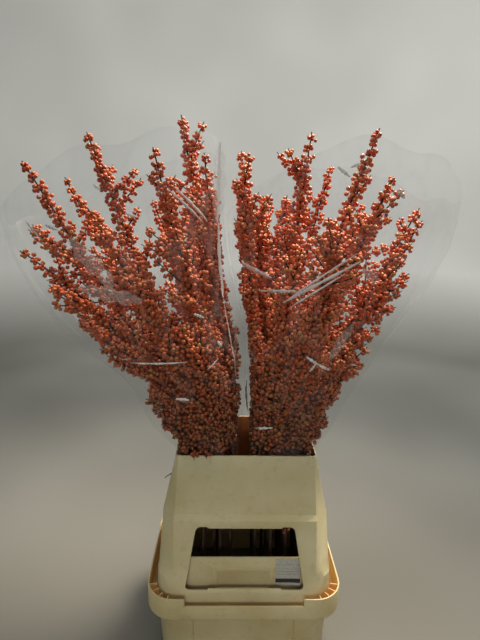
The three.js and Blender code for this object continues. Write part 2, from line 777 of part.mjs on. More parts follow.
// Water with a plain hole for each stem
function waterSolid(stems) {
  const gap = WALL + WATER.gap;
  const slab = solidOf(loft([
    roundedRing(WATER.bottom, BASE, BASE.edge + OVERLAP + WATER.gap),
    roundedRing(BASE.edge + WALL + OVERLAP, BASE, gap),
    roundedRing(WATER.top, BASE, gap),
  ])).subtract(panelBoxes(gap));
  const holes = stems.map((stem) => {
    const axis = stem.neck.clone().sub(stem.foot).normalize();
    const radius = STEM.bare + WATER.holeRoom;
    const [root] = shootRings(stem.curve, STEM_GROUPS, STEM.bare, STEM.clad);
    const rings = [WATER.holeFrom, WATER.holeTo].map((share) => (
      { ...root, point: stem.foot.clone().lerp(stem.neck, share), axis, radius }
    ));
    return solidOf(tube(rings, bendNormal(stem.curve)));
  });
  return mainBody(slab.subtract(wasm.Manifold.union(holes)));
}

function makeMesh(name, geometry, colour, roughness, opacity = 1) {
  const material = new THREE.MeshStandardMaterial({
    color: colour,
    roughness,
    metalness: 0,
    opacity,
    transparent: opacity < 1,
  });
  const mesh = new THREE.Mesh(geometry, material);
  mesh.name = name;
  return mesh;
}

const model = new THREE.Group();
const stems = growBranches();
model.add(makeMesh("bucket", geometryOf(bucketSolid()), COLOURS.bucket, 0.5));
model.add(makeMesh("collar", geometryOf(collarSolid()), COLOURS.collar, 0.5));
model.add(makeMesh("label", geometryOf(labelSolid()), COLOURS.label, 0.8));
model.add(makeMesh("water", geometryOf(waterSolid(stems)), COLOURS.water, 0.1, 0.5));
model.add(makeMesh("sleeve_left", filmGeometry(FILMS.left), COLOURS.film, 0.15, 0.3));
model.add(makeMesh("sleeve_right", filmGeometry(FILMS.right), COLOURS.film, 0.15, 0.3));
for (const stem of stems) {
  const name = `branch_${stem.name}_${String(stem.number).padStart(2, "0")}`;
  model.add(makeMesh(name, geometryOf(branchSolid(stem)), COLOURS.berries, 0.45));
}

export default model;
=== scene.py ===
"""Winterberry branches in a flower bucket, dressed for the render.

Two film-sleeved bunches of berried branches stand in a cream bucket with a tapered collar.
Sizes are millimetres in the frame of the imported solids, and every mesh is made in metres.
"""

import json
import logging
import math
from dataclasses import dataclass, field
from enum import Enum
from itertools import product
from typing import Any

import bmesh
import bpy
import numpy as np
from bpy.types import Material, Node, NodeSocket, NodeTree, Object
from mathutils import Matrix, Vector
from numpy import ndarray as Array
from numpy.random import Generator

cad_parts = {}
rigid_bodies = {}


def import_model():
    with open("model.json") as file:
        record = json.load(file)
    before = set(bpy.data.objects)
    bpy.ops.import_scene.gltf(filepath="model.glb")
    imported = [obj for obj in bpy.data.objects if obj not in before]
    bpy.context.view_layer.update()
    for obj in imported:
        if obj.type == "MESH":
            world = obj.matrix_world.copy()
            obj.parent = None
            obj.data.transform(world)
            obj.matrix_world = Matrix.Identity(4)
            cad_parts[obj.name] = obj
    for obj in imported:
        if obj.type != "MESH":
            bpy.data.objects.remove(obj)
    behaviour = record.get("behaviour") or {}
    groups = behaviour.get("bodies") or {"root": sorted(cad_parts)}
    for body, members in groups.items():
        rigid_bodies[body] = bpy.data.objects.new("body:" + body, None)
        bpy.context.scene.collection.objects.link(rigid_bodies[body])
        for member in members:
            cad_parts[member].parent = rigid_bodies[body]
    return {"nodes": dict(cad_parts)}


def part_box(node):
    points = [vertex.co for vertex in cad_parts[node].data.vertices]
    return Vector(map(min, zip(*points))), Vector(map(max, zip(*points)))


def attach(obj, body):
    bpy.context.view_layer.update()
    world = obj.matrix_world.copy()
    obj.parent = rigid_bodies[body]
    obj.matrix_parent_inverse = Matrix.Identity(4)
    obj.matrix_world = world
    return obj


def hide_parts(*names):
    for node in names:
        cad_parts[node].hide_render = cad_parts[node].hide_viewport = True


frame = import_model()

MM = 0.001
FULL_TURN = 2 * math.pi
GOLDEN_ANGLE = 2.399963
BODY = "root"
LOG = logging.getLogger("winterberry")
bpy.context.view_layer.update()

Pair = tuple[float, float]


class Side(Enum):
    """The two bunches, by the side of the bucket that they lean to."""

    LEFT = -1
    RIGHT = 1


# Numbers and curves shared by the pieces


def lerp(start: Any, end: Any, share: Any) -> Any:
    """Blend from start to end by the share."""
    return start + (end - start) * share


def quadratic(root: Any, middle: Any, tip: Any, share: Any) -> Any:
    """Give the point of a quadratic curve at a share of its own parameter."""
    rest = 1 - share
    return rest * rest * root + 2 * rest * share * middle + share * share * tip


class SeededRandom:
    """Numbers from 0 to 1 that repeat on every run, in the order that the solids use."""

    MASK = 0xFFFFFFFF

    def __init__(self, seed: int) -> None:
        """Start the row of numbers at the seed."""
        self.state = seed & self.MASK

    def __call__(self) -> float:
        """Give the next number.

        Returns:
            A number from 0 up to, but not with, 1.
        """
        self.state = (self.state + 0x6D2B79F5) & self.MASK
        mixed = self.state
        mixed = ((mixed ^ (mixed >> 15)) * (mixed | 1)) & self.MASK
        stirred = ((mixed ^ (mixed >> 7)) * (mixed | 61)) & self.MASK
        mixed ^= (mixed + stirred) & self.MASK
        return ((mixed ^ (mixed >> 14)) & self.MASK) / 2**32


class BentLine:
    """A quadratic curve that is read by its length, as the solids' skeleton is."""

    DIVISIONS = 200
    STEP = 1e-4

    def __init__(self, root: Array, middle: Array, tip: Array) -> None:
        """Keep the three control points and measure the curve.

        Args:
            root: where the curve starts.
            middle: the point that it bends towards.
            tip: where it ends.
        """
        self.corners = (root, middle, tip)
        self.shares = np.linspace(0, 1, self.DIVISIONS + 1)
        line = np.array([self._at(share) for share in self.shares])
        steps = np.linalg.norm(np.diff(line, axis=0), axis=1)
        self.lengths = np.concatenate([[0.0], np.cumsum(steps)])

    @property
    def length(self) -> float:
        """The curve's length."""
        return float(self.lengths[-1])

    def _at(self, share: float) -> Array:
        """Give the point at a share of the curve's own parameter."""
        return quadratic(*self.corners, share)

    def _parameter(self, share: float) -> float:
        """Turn a share of the length to the curve's own parameter."""
        return float(np.interp(share * self.length, self.lengths, self.shares))

    def point(self, share: float) -> Array:
        """Give the point at a share of the length."""
        return self._at(self._parameter(share))

    def tangent(self, share: float) -> Array:
        """Measure which way the curve runs.

        Args:
            share: a share of the length.

        Returns:
            The direction there, with length one.
        """
        place = self._parameter(share)
        ahead = self._at(min(place + self.STEP, 1.0))
        behind = self._at(max(place - self.STEP, 0.0))
        return unit(ahead - behind)


def unit(vector: Array) -> Array:
    """Give the vector's direction with length one."""
    return vector / np.linalg.norm(vector)


def sideways(axis: Array, angle: float) -> Array:
    """Find a direction square to an axis.

    Args:
        axis: the axis, with length one.
        angle: how far the direction is turned about it.

    Returns:
        The direction, with length one.
    """
    helper = np.array([0.0, 0, 1]) if abs(axis[2]) < 0.9 else np.array([1.0, 0, 0])
    first = unit(np.cross(helper, axis))
    second = np.cross(axis, first)
    return first * math.cos(angle) + second * math.sin(angle)


def smooth_between(heights: Array, values: Array, at: Array) -> Array:
    """Read a smooth curve through some heights and values.

    Args:
        heights: rising places of the known values.
        values: one value for each height.
        at: the places to read.

    Returns:
        The values there, by Hermite curves with no corner at the heights.
    """
    slopes = np.gradient(values, heights)
    low = np.clip(np.searchsorted(heights, at, side="right") - 1, 0, len(heights) - 2)
    span = heights[low + 1] - heights[low]
    share = (at - heights[low]) / span
    rising = share * share * (3 - 2 * share)
    leaving = share * (1 - share) ** 2 * span
    arriving = -share * share * (1 - share) * span
    return (values[low] * (1 - rising) + values[low + 1] * rising
            + slopes[low] * leaving + slopes[low + 1] * arriving)


# Materials


def linear(hex_colour: str) -> tuple[float, float, float, float]:
    """Turn an sRGB hex colour to a linear one.

    Args:
        hex_colour: a number sign and six hex digits.

    Returns:
        Linear red, green and blue, and an alpha of one.
    """
    shares = [int(hex_colour[at:at + 2], 16) / 255 for at in (1, 3, 5)]
    red, green, blue = (s / 12.92 if s <= 0.04045 else ((s + 0.055) / 1.055) ** 2.4 for s in shares)
    return red, green, blue, 1.0


def add_node(tree: NodeTree, kind: str, inputs: dict[Any, Any] | None = None,
             **settings: Any) -> Node:
    """Add one shader node with its settings, values and links.

    Args:
        tree: the material's or world's node tree.
        kind: the node's Blender type, without its ShaderNode start.
        inputs: a value or another node's output for each input, by name or number.
        settings: the node's own properties.

    Returns:
        The new node.
    """
    node = tree.nodes.new(f"ShaderNode{kind}")
    for name, value in settings.items():
        setattr(node, name, value)
    for name, value in (inputs or {}).items():
        if isinstance(value, NodeSocket):
            tree.links.new(value, node.inputs[name])
        else:
            node.inputs[name].default_value = value
    return node


def blend_colours(tree: NodeTree, share: Any, first: Any,
                  second: Any) -> NodeSocket:
    """Mix two colours.

    Args:
        tree: the material's node tree.
        share: how much of the second colour shows, as a value or an output.
        first: the first colour, as a hex value or an output.
        second: the second colour.

    Returns:
        The mixed colour.
    """
    first, second = (linear(c) if isinstance(c, str) else c for c in (first, second))
    mix = add_node(tree, "Mix", {0: share, 6: first, 7: second}, data_type="RGBA")
    return mix.outputs[2]


def between(tree: NodeTree, value: Any, low: float, high: float, start: float = 0.0,
            end: float = 1.0) -> NodeSocket:
    """Stretch a value from one span onto another, held at its ends.

    Args:
        tree: the material's node tree.
        value: the value, as a number or an output.
        low: where its own span starts.
        high: where its own span ends.
        start: where the new span starts.
        end: where the new span ends.

    Returns:
        The stretched value.
    """
    spread = add_node(tree, "MapRange", {"Value": value, "From Min": low, "From Max": high,
                                         "To Min": start, "To Max": end})
    return spread.outputs[0]


def arithmetic(tree: NodeTree, operation: str, *values: Any) -> NodeSocket:
    """Join one or two values by a maths operation, held between 0 and 1."""
    settings = {"operation": operation, "use_clamp": True}
    return add_node(tree, "Math", dict(enumerate(values)), **settings).outputs[0]


def per_metre(size_mm: float) -> float:
    """Turn a pattern's size in millimetres to a texture scale on metre coordinates."""
    return 1 / (size_mm * MM)


def start_material(name: str) -> tuple[Material, NodeTree, NodeSocket]:
    """Make an empty material.

    Args:
        name: the material's name, which tells the real material and how its surface was made.

    Returns:
        The material, its node tree and its Object coordinates.
    """
    material = bpy.data.materials.new(name)
    material.use_nodes = True
    tree = material.node_tree
    tree.nodes.clear()
    return material, tree, add_node(tree, "TexCoord").outputs["Object"]


def close_material(tree: NodeTree, surface: NodeSocket) -> None:
    """Link the finished shader to the material's output."""
    add_node(tree, "OutputMaterial", {"Surface": surface})


@dataclass(frozen=True)
class MouldedPolypropylene:
    """Cream polypropylene from an injection mould: waxy, faintly grained, yellowed and scuffed."""

    name: str
    base: str
    aged: str
    grime: str
    soak: float = 0.12
    speck: str = "#4a3a26"
    roughness: float = 0.42
    cloud_mm: float = 95.0
    smear_mm: float = 16.0
    speck_mm: float = 21.0
    grain_mm: float = 2.2
    grain_depth_mm: float = 0.6
    yellowed: Pair = (0.35, 0.68)
    smeared: Pair = (0.54, 0.78)
    speck_edge: Pair = (0.035, 0.05)
    speck_clouds: Pair = (0.5, 0.56)

    def material(self) -> Material:
        """Make the plastic: slow yellowing, thin grime, a few specks and a fine moulded grain.

        Returns:
            The material.
        """
        material, tree, place = start_material(self.name)
        clouds = add_node(tree, "TexNoise", {"Vector": place, "Scale": per_metre(self.cloud_mm),
                                             "Detail": 3.0})
        smears = add_node(tree, "TexNoise", {"Vector": place, "Scale": per_metre(self.smear_mm),
                                             "Detail": 6.0, "Roughness": 0.72})
        specks = add_node(tree, "TexVoronoi", {"Vector": place, "Scale": per_metre(self.speck_mm)})
        yellow = between(tree, clouds.outputs[0], *self.yellowed)
        colour = blend_colours(tree, yellow, self.base, self.aged)
        thin_grime = between(tree, smears.outputs[0], *self.smeared, 0.0, 0.42)
        colour = blend_colours(tree, thin_grime, colour, self.grime)
        dots = between(tree, specks.outputs["Distance"], *self.speck_edge, 0.7, 0.0)
        dirty = between(tree, clouds.outputs[0], *self.speck_clouds)
        colour = blend_colours(tree, arithmetic(tree, "MULTIPLY", dots, dirty), colour, self.speck)
        grain = add_node(tree, "TexNoise", {"Vector": place, "Scale": per_metre(self.grain_mm),
                                            "Detail": 2.0})
        bump = add_node(tree, "Bump", {"Height": grain.outputs[0], "Strength": 0.10,
                                       "Distance": self.grain_depth_mm * MM})
        rough = between(tree, smears.outputs[0], 0.3, 0.75,
                        self.roughness - 0.07, self.roughness + 0.2)
        shader = add_node(tree, "BsdfPrincipled", {
            "Base Color": colour, "Roughness": rough, "IOR": 1.49, "Normal": bump.outputs[0],
            "Subsurface Weight": self.soak, "Subsurface Radius": (1.0, 0.7, 0.35),
            "Subsurface Scale": 0.004})
        close_material(tree, shader.outputs[0])
        return material


@dataclass(frozen=True)
class WaxyBerry:
    """Skin of a ripe winterberry: smooth, waxy and firm, with a dark dot at its end."""

    name: str = "berry_skin_waxy"
    orange: str = "#d55a26"
    salmon: str = "#e07c4e"
    golden: str = "#d6964c"
    # The aged colour also darkens the berries low in the bunch, as painted shade.
    aged: str = "#663820"
    scar: str = "#24100a"
    roughness: float = 0.36
    mottle_mm: float = 5.0
    salmon_tone: float = 0.6
    golden_tone: float = 0.95
    scar_edge: Pair = (0.55, 0.85)

    def material(self) -> Material:
        """Make the skin from each berry's own tone and age, with painted shade low in the bunch, and
        the dot's place.

        Returns:
            The material.
        """
        material, tree, place = start_material(self.name)
        tone, age, dot = (add_node(tree, "Attribute", attribute_name=name).outputs["Fac"]
                          for name in ("tone", "age", "dot"))
        salmon = between(tree, tone, 0.0, self.salmon_tone)
        colour = blend_colours(tree, salmon, self.orange, self.salmon)
        golden = between(tree, tone, self.salmon_tone, self.golden_tone)
        colour = blend_colours(tree, golden, colour, self.golden)
        # Darken and brown by each berry's age and by the painted shade low in the bunch.
        colour = blend_colours(tree, age, colour, self.aged)
        colour = blend_colours(tree, between(tree, dot, *self.scar_edge), colour, self.scar)
        mottle = add_node(tree, "TexNoise", {"Vector": place, "Scale": per_metre(self.mottle_mm),
                                             "Detail": 2.0})
        spots = between(tree, mottle.outputs[0], 0.5, 0.8, 0.0, 0.3)
        colour = blend_colours(tree, spots, colour, self.aged)
        shader = add_node(tree, "BsdfPrincipled", {
            "Base Color": colour, "Roughness": self.roughness, "IOR": 1.45,
            "Subsurface Weight": 0.15, "Subsurface Radius": (1.0, 0.35, 0.15),
            "Subsurface Scale": 0.0025})
        close_material(tree, shader.outputs[0])
        return material


@dataclass(frozen=True)
class WinterBark:
    """Bark of a winterberry shoot: nearly black brown, rough, with small pale pores."""

    name: str = "bark_winterberry"
    dark: str = "#20150f"
    brown: str = "#46301f"
    pore: str = "#8d7a62"
    roughness: float = 0.78
    furrow_mm: float = 7.0
    furrow_depth_mm: float = 0.8
    furrow_squeeze: float = 0.3
    pore_mm: float = 5.0
    pore_edge: Pair = (0.10, 0.2)

    def material(self) -> Material:
        """Make the bark with long furrows and pores.

        Returns:
            The material.
        """
        material, tree, place = start_material(self.name)
        squeeze = (1.0, 1.0, self.furrow_squeeze)
        along = add_node(tree, "Mapping", {"Vector": place, "Scale": squeeze})
        furrows = add_node(tree, "TexNoise", {"Vector": along.outputs[0],
                                              "Scale": per_metre(self.furrow_mm), "Detail": 5.0})
        pores = add_node(tree, "TexVoronoi", {"Vector": place, "Scale": per_metre(self.pore_mm)})
        ridges = between(tree, furrows.outputs[0], 0.35, 0.7)
        colour = blend_colours(tree, ridges, self.dark, self.brown)
        dots = between(tree, pores.outputs["Distance"], *self.pore_edge, 0.8, 0.0)
        colour = blend_colours(tree, dots, colour, self.pore)
        bump = add_node(tree, "Bump", {"Height": furrows.outputs[0], "Strength": 0.5,
                                       "Distance": self.furrow_depth_mm * MM})
        shader = add_node(tree, "BsdfPrincipled", {
            "Base Color": colour, "Roughness": self.roughness, "IOR": 1.5,
            "Normal": bump.outputs[0]})
        close_material(tree, shader.outputs[0])
        return material


@dataclass(frozen=True)
class PackingFilm:
    """Clear polypropylene film, cast thin and glossy, crinkled by handling."""

    name: str
    haze_and_highlight: float
    fold_white_and_highlight: float
    roughness: float
    sheen: float
    white: str = "#f4f4f2"
    crinkle_mm: float = 34.0
    crinkle_depth_mm: float = 4.0
    ripple_ratio: float = 1.7

    def material(self) -> Material:
        """Make the film: clear, with a mirror gloss by angle and a thin white veil in its folds,
        which is partly the film's own whitening and partly painted highlight.

        Returns:
            The material.
        """
        material, tree, place = start_material(self.name)
        crinkle = add_node(tree, "TexVoronoi", {
            "Vector": place, "Scale": per_metre(self.crinkle_mm), "Randomness": 1.0}, feature="F1")
        ripple_scale = per_metre(self.crinkle_mm * self.ripple_ratio)
        ripple = add_node(tree, "TexNoise", {"Vector": place, "Scale": ripple_scale, "Detail": 3.0})
        rough_form = arithmetic(tree, "ADD", crinkle.outputs["Distance"], ripple.outputs[0])
        bump = add_node(tree, "Bump", {"Height": rough_form, "Strength": 0.22,
                                       "Distance": self.crinkle_depth_mm * MM}).outputs[0]
        fold = add_node(tree, "Attribute", attribute_name="fold").outputs["Fac"]
        # Whiteness: the film's own haze and crease whitening, with painted highlight along the rim;
        # the two fold finishes are nearly white all over, as painted highlight.
        veil = between(tree, fold, 0.0, 1.0, self.haze_and_highlight, self.haze_and_highlight + self.fold_white_and_highlight)
        clear = add_node(tree, "BsdfTransparent", {"Color": (0.97, 0.975, 0.98, 1)})
        milk = add_node(tree, "BsdfPrincipled", {
            "Base Color": linear(self.white), "Roughness": 0.4, "IOR": 1.49, "Normal": bump})
        body = add_node(tree, "MixShader", {0: veil, 1: clear.outputs[0], 2: milk.outputs[0]})
        gloss = add_node(tree, "BsdfGlossy", {"Color": (1, 1, 1, 1), "Roughness": self.roughness,
                                              "Normal": bump})
        angle = add_node(tree, "Fresnel", {"IOR": 1.49, "Normal": bump}).outputs[0]
        sheen = between(tree, angle, 0.0, 0.6, 0.0, self.sheen)
        skin = add_node(tree, "MixShader", {0: sheen, 1: body.outputs[0], 2: gloss.outputs[0]})
        close_material(tree, skin.outputs[0])
        return material


@dataclass(frozen=True)
class LabelPaper:
    """Coated label paper: off-white and matt, with plain dark and grey bars in place of print.

    Each bar is its middle's height and half its height, as shares of the label, its ink, and how
    strongly the ink covers the paper.
    """

    name: str = "label_paper_coated"
    paper: str = "#b9b8b1"
    fibre: str = "#a5a398"
    fibre_mm: float = 4.0
    bars: tuple[tuple[float, float, str, float], ...] = (
        (0.17, 0.085, "#2e2c2a", 1.0), (0.42, 0.012, "#8d8c88", 0.9), (0.52, 0.012, "#8d8c88", 0.9),
        (0.62, 0.012, "#8d8c88", 0.8), (0.78, 0.012, "#8d8c88", 0.7))
    bar_core: float = 0.85

    def material(self, low: Vector, high: Vector) -> Material:
        """Make the paper.

        Args:
            low: the label's lowest corner, in metres.
            high: its highest corner.

        Returns:
            The paper with a dark bar low down and thin grey lines above it.
        """
        material, tree, place = start_material(self.name)
        height = add_node(tree, "SeparateXYZ", {0: place}).outputs[2]
        share = between(tree, height, low.z, high.z)
        fine = add_node(tree, "TexNoise", {"Vector": place, "Scale": per_metre(self.fibre_mm),
                                           "Detail": 4.0})
        fibres = between(tree, fine.outputs[0], 0.35, 0.7)
        colour = blend_colours(tree, fibres, self.paper, self.fibre)
        for middle, half, ink, strength in self.bars:
            offset = add_node(tree, "Math", {0: share, 1: middle}, operation="SUBTRACT").outputs[0]
            away = arithmetic(tree, "ABSOLUTE", offset)
            bar = between(tree, away, half * self.bar_core, half, strength, 0.0)
            colour = blend_colours(tree, bar, colour, ink)
        shader = add_node(tree, "BsdfPrincipled", {
            "Base Color": colour, "Roughness": 0.62, "IOR": 1.5})
        close_material(tree, shader.outputs[0])
        return material


@dataclass(frozen=True)
class StillWater:
    """Standing water in the bucket: clear, level and slightly clouded by the cut stems."""

    name: str = "water_standing"
    tint: str = "#8f8f74"
    ripple_mm: float = 60.0
    ripple_depth_mm: float = 1.0

    def material(self) -> Material:
        """Make the water with a low ripple on its face.

        Returns:
            The material.
        """
        material, tree, place = start_material(self.name)
        ripple = add_node(tree, "TexNoise", {"Vector": place, "Scale": per_metre(self.ripple_mm),
                                             "Detail": 1.0})
        bump = add_node(tree, "Bump", {"Height": ripple.outputs[0], "Strength": 0.1,
                                       "Distance": self.ripple_depth_mm * MM})
        shader = add_node(tree, "BsdfPrincipled", {
            "Base Color": linear(self.tint), "Roughness": 0.05, "IOR": 1.333,
            "Transmission Weight": 0.75, "Normal": bump.outputs[0]})
        close_material(tree, shader.outputs[0])
        return material


@dataclass(frozen=True)
class PaintedCove:
    """Matt paint on the studio's floor and round wall, slightly uneven, with painted shade that
    darkens it low down.
    """

    name: str = "studio_paint_matt"
    paint: str = "#c4c4c0"
    floor: str = "#66655f"
    worn: str = "#9b9a94"
    uneven_scale: float = 1.3
    shade_top_m: float = 0.45

    def material(self) -> Material:
        """Make the paint.

        Returns:
            The material.
        """
        material, tree, place = start_material(self.name)
        uneven = add_node(tree, "TexNoise", {"Vector": place, "Scale": self.uneven_scale,
                                             "Detail": 1.0})
        height = add_node(tree, "SeparateXYZ", {0: place}).outputs[2]
        # Painted shade: the paint darkens to the floor colour from this height down to the floor.
        climb = between(tree, height, 0.0, self.shade_top_m)
        colour = blend_colours(tree, climb, self.floor, self.paint)
        patches = between(tree, uneven.outputs[0], 0.3, 0.7, 0.0, 0.3)
        colour = blend_colours(tree, patches, colour, self.worn)
        shader = add_node(tree, "BsdfPrincipled", {
            "Base Color": colour, "Roughness": 0.85, "IOR": 1.4})
        close_material(tree, shader.outputs[0])
        return material


# Mesh tools


@dataclass
class MeshPart:
    """Arrays of one part of a mesh: places in millimetres, faces and values per point."""

    points: Array
    corners: Array
    face_sizes: Array
    finish: int = 0
    values: dict[str, Array] = field(default_factory=dict)


def join_parts(name: str, parts: list[MeshPart],
               finishes: list[Material]) -> Object:
    """Make one object from several parts.

    Args:
        name: the piece's name.
        parts: the parts, each with the number of its finish.
        finishes: the materials, in order.

    Returns:
        The object, smooth shaded, with its place in its mesh.
    """
    mesh = bpy.data.meshes.new(name)
    starts = np.cumsum([0] + [len(part.points) for part in parts])
    points = np.concatenate([part.points for part in parts]) * MM
    corners = np.concatenate([part.corners + start for part, start in zip(parts, starts)])
    sizes = np.concatenate([part.face_sizes for part in parts])
    finish = np.concatenate([np.full(len(part.face_sizes), part.finish) for part in parts])
    mesh.vertices.add(len(points))
    mesh.vertices.foreach_set("co", points.astype(np.float32).ravel())
    mesh.loops.add(len(corners))
    mesh.loops.foreach_set("vertex_index", corners.astype(np.int32))
    mesh.polygons.add(len(sizes))
    mesh.polygons.foreach_set("loop_start", (np.cumsum(sizes) - sizes).astype(np.int32))
    mesh.polygons.foreach_set("loop_total", sizes.astype(np.int32))
    mesh.polygons.foreach_set("material_index", finish.astype(np.int32))
    mesh.polygons.foreach_set("use_smooth", np.ones(len(sizes), dtype=bool))
    for key in sorted({key for part in parts for key in part.values}):
        layer = mesh.attributes.new(key, "FLOAT", "POINT")
        values = [part.values.get(key, np.zeros(len(part.points))) for part in parts]
        layer.data.foreach_set("value", np.concatenate(values).astype(np.float32))
    for material in finishes:
        mesh.materials.append(material)
    mesh.update(calc_edges=True)
    mesh.validate()
    piece = bpy.data.objects.new(name, mesh)
    bpy.context.collection.objects.link(piece)
    return piece


def part_of(piece: Object) -> MeshPart:
    """Read an object's mesh as a part, and remove the object.

    Args:
        piece: a mesh object at the origin.

    Returns:
        Its arrays, in millimetres.
    """
    mesh = piece.data
    points = np.empty(len(mesh.vertices) * 3, dtype=np.float32)
    corners = np.empty(len(mesh.loops), dtype=np.int32)
    sizes = np.empty(len(mesh.polygons), dtype=np.int32)
    mesh.vertices.foreach_get("co", points)
    mesh.loops.foreach_get("vertex_index", corners)
    mesh.polygons.foreach_get("loop_total", sizes)
    bpy.data.objects.remove(piece)
    bpy.data.meshes.remove(mesh)
    return MeshPart(points.reshape(-1, 3).astype(float) / MM, corners, sizes)


def select_none() -> None:
    """Clear the selection, so that an operator acts on the new primitive alone."""
    for other in bpy.context.view_layer.objects:
        other.select_set(False)


def select_only(*pieces: Object) -> None:
    """Select some objects alone.

    Args:
        pieces: the objects, of which the first becomes active.
    """
    select_none()
    for piece in pieces:
        piece.select_set(True)
    bpy.context.view_layer.objects.active = pieces[0]


def place_ring(mesh: bmesh.types.BMesh, ring: list[Vector]) -> None:
    """Settle the selected corners on a ring, by the order that they carry.

    Args:
        mesh: the mesh in edit mode.
        ring: the ring's points, in metres.
    """
    order = mesh.verts.layers.int["order"]
    for corner in mesh.verts:
        if corner.select:
            corner.co = ring[corner[order]]


def loft(name: str, rings: list[list[Vector]], open_top: bool = False) -> Object:
    """Extrude a closed form from ring to ring.

    Args:
        name: the new object's name.
        rings: rings of equal point counts, in millimetres, anticlockwise seen from above.
        open_top: leave the last ring without a face.

    Returns:
        The object, with its faces outwards.
    """
    metres = [[point * MM for point in ring] for ring in rings]
    select_none()
    bpy.ops.mesh.primitive_circle_add(vertices=len(rings[0]), radius=1.0, fill_type="NGON")
    form = bpy.context.object
    form.name = name
    bpy.ops.object.mode_set(mode="EDIT")
    mesh = bmesh.from_edit_mesh(form.data)
    order = mesh.verts.layers.int.new("order")
    mesh.verts.ensure_lookup_table()
    for index, corner in enumerate(mesh.faces[:][0].verts):
        corner[order] = index
    place_ring(mesh, metres[0])
    bmesh.update_edit_mesh(form.data)
    for ring in metres[1:]:
        bpy.ops.mesh.extrude_region_move()
        place_ring(bmesh.from_edit_mesh(form.data), ring)
        bmesh.update_edit_mesh(form.data)
    if open_top:
        bpy.ops.mesh.delete(type="ONLY_FACE")
    else:
        bpy.ops.mesh.select_all(action="SELECT")
        bpy.ops.mesh.normals_make_consistent(inside=False)
    bpy.ops.object.mode_set(mode="OBJECT")
    return form


def add_box(name: str, low: tuple[float, float, float],
            high: tuple[float, float, float]) -> Object:
    """Add a box.

    Args:
        name: the new object's name.
        low: its lowest corner, in millimetres.
        high: its highest corner.

    Returns:
        The object, with its place in its mesh.
    """
    select_none()
    middle = [lerp(a, b, 0.5) * MM for a, b in zip(low, high)]
    size = [(b - a) * MM for a, b in zip(low, high)]
    bpy.ops.mesh.primitive_cube_add(size=1.0, location=middle, scale=size)
    bpy.ops.object.transform_apply(location=True, rotation=True, scale=True)
    box = bpy.context.object
    box.name = name
    return box


def apply_modifier(piece: Object, kind: str, **settings: Any) -> None:
    """Add a modifier, and apply it.

    Args:
        piece: the object that it shapes.
        kind: the modifier's Blender type.
        settings: its own properties.
    """
    select_only(piece)
    modifier = piece.modifiers.new(kind.lower(), kind)
    for name, value in settings.items():
        setattr(modifier, name, value)
    bpy.ops.object.modifier_apply(modifier=modifier.name)


def combine(piece: Object, other: Object, operation: str) -> None:
    """Join, cut or overlap a piece with another form, which is then removed."""
    apply_modifier(piece, "BOOLEAN", object=other, operation=operation, solver="EXACT")
    bpy.data.objects.remove(other)


def soften(piece: Object, width_mm: float, crease_deg: float = 32.0) -> None:
    """Round a moulded piece's edges, and shade its faces smooth between them.

    Args:
        piece: the object.
        width_mm: how wide the rounded edges are.
        crease_deg: the smallest angle between two faces that counts as an edge.
    """
    crease = math.radians(crease_deg)
    apply_modifier(piece, "BEVEL", width=width_mm * MM, segments=2, limit_method="ANGLE",
                   angle_limit=crease, use_clamp_overlap=True, miter_outer="MITER_ARC")
    select_only(piece)
    bpy.ops.object.shade_smooth_by_angle(angle=crease)


def dress(piece: Object, node: str, slot: str, *finishes: Material) -> None:
    """Put a finished piece in the place of its solid.

    Args:
        piece: the finished object.
        node: the solid that it stands for.
        slot: the record's material slot; not used.
        finishes: materials to give it, where it has none yet.
    """
    for material in finishes:
        piece.data.materials.append(material)
    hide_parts(node)
    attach(piece, BODY)
    triangles = sum(len(face.vertices) - 2 for face in piece.data.polygons)
    LOG.info("%s: %d triangles", piece.name, triangles)


# Bucket and collar


@dataclass(frozen=True)
class Plan:
    """A rounded rectangle's half-sizes and corner radius."""

    half_x: float
    half_y: float
    corner: float


def corner_ring(height: float, half_x: float, half_y: float, cut_x: float, cut_y: float,
                roundness: float = 1.0, steps: int = 8) -> list[Vector]:
    """Lay out a rectangle with cut or rounded corners.

    Args:
        height: the ring's height.
        half_x: half its length.
        half_y: half its width.
        cut_x: how much of the length a corner takes.
        cut_y: how much of the width a corner takes.
        roundness: 1 for a round corner and 0 for a flat cut.
        steps: faces in each corner.

    Returns:
        Its points, anticlockwise seen from above.
    """
    points = []
    for quadrant, (sign_x, sign_y) in enumerate(((1, 1), (-1, 1), (-1, -1), (1, -1))):
        for step in range(steps + 1):
            share = (step if quadrant % 2 == 0 else steps - step) / steps
            angle = share * math.pi / 2
            x = half_x - cut_x + cut_x * lerp(1 - share, math.cos(angle), roundness)
            y = half_y - cut_y + cut_y * lerp(share, math.sin(angle), roundness)
            points.append(Vector((sign_x * x, sign_y * y, height)))
    return points


def outside(plan: Plan, place: Vector) -> float:
    """Measure how far a place lies outside a rounded rectangle.

    Args:
        plan: the rectangle.
        place: the place, in millimetres.

    Returns:
        The distance, negative inside.
    """
    over_x = abs(place.x) - plan.half_x + plan.corner
    over_y = abs(place.y) - plan.half_y + plan.corner
    past_corner = math.hypot(max(over_x, 0.0), max(over_y, 0.0))
    return past_corner + min(max(over_x, over_y), 0.0) - plan.corner


def plan_ring(height: float, plan: Plan, inset: float = 0.0) -> list[Vector]:
    """Lay out a rounded rectangle, drawn in by the inset or out where that is negative."""
    corner = max(plan.corner - inset, 1.0)
    return corner_ring(height, plan.half_x - inset, plan.half_y - inset, corner, corner)


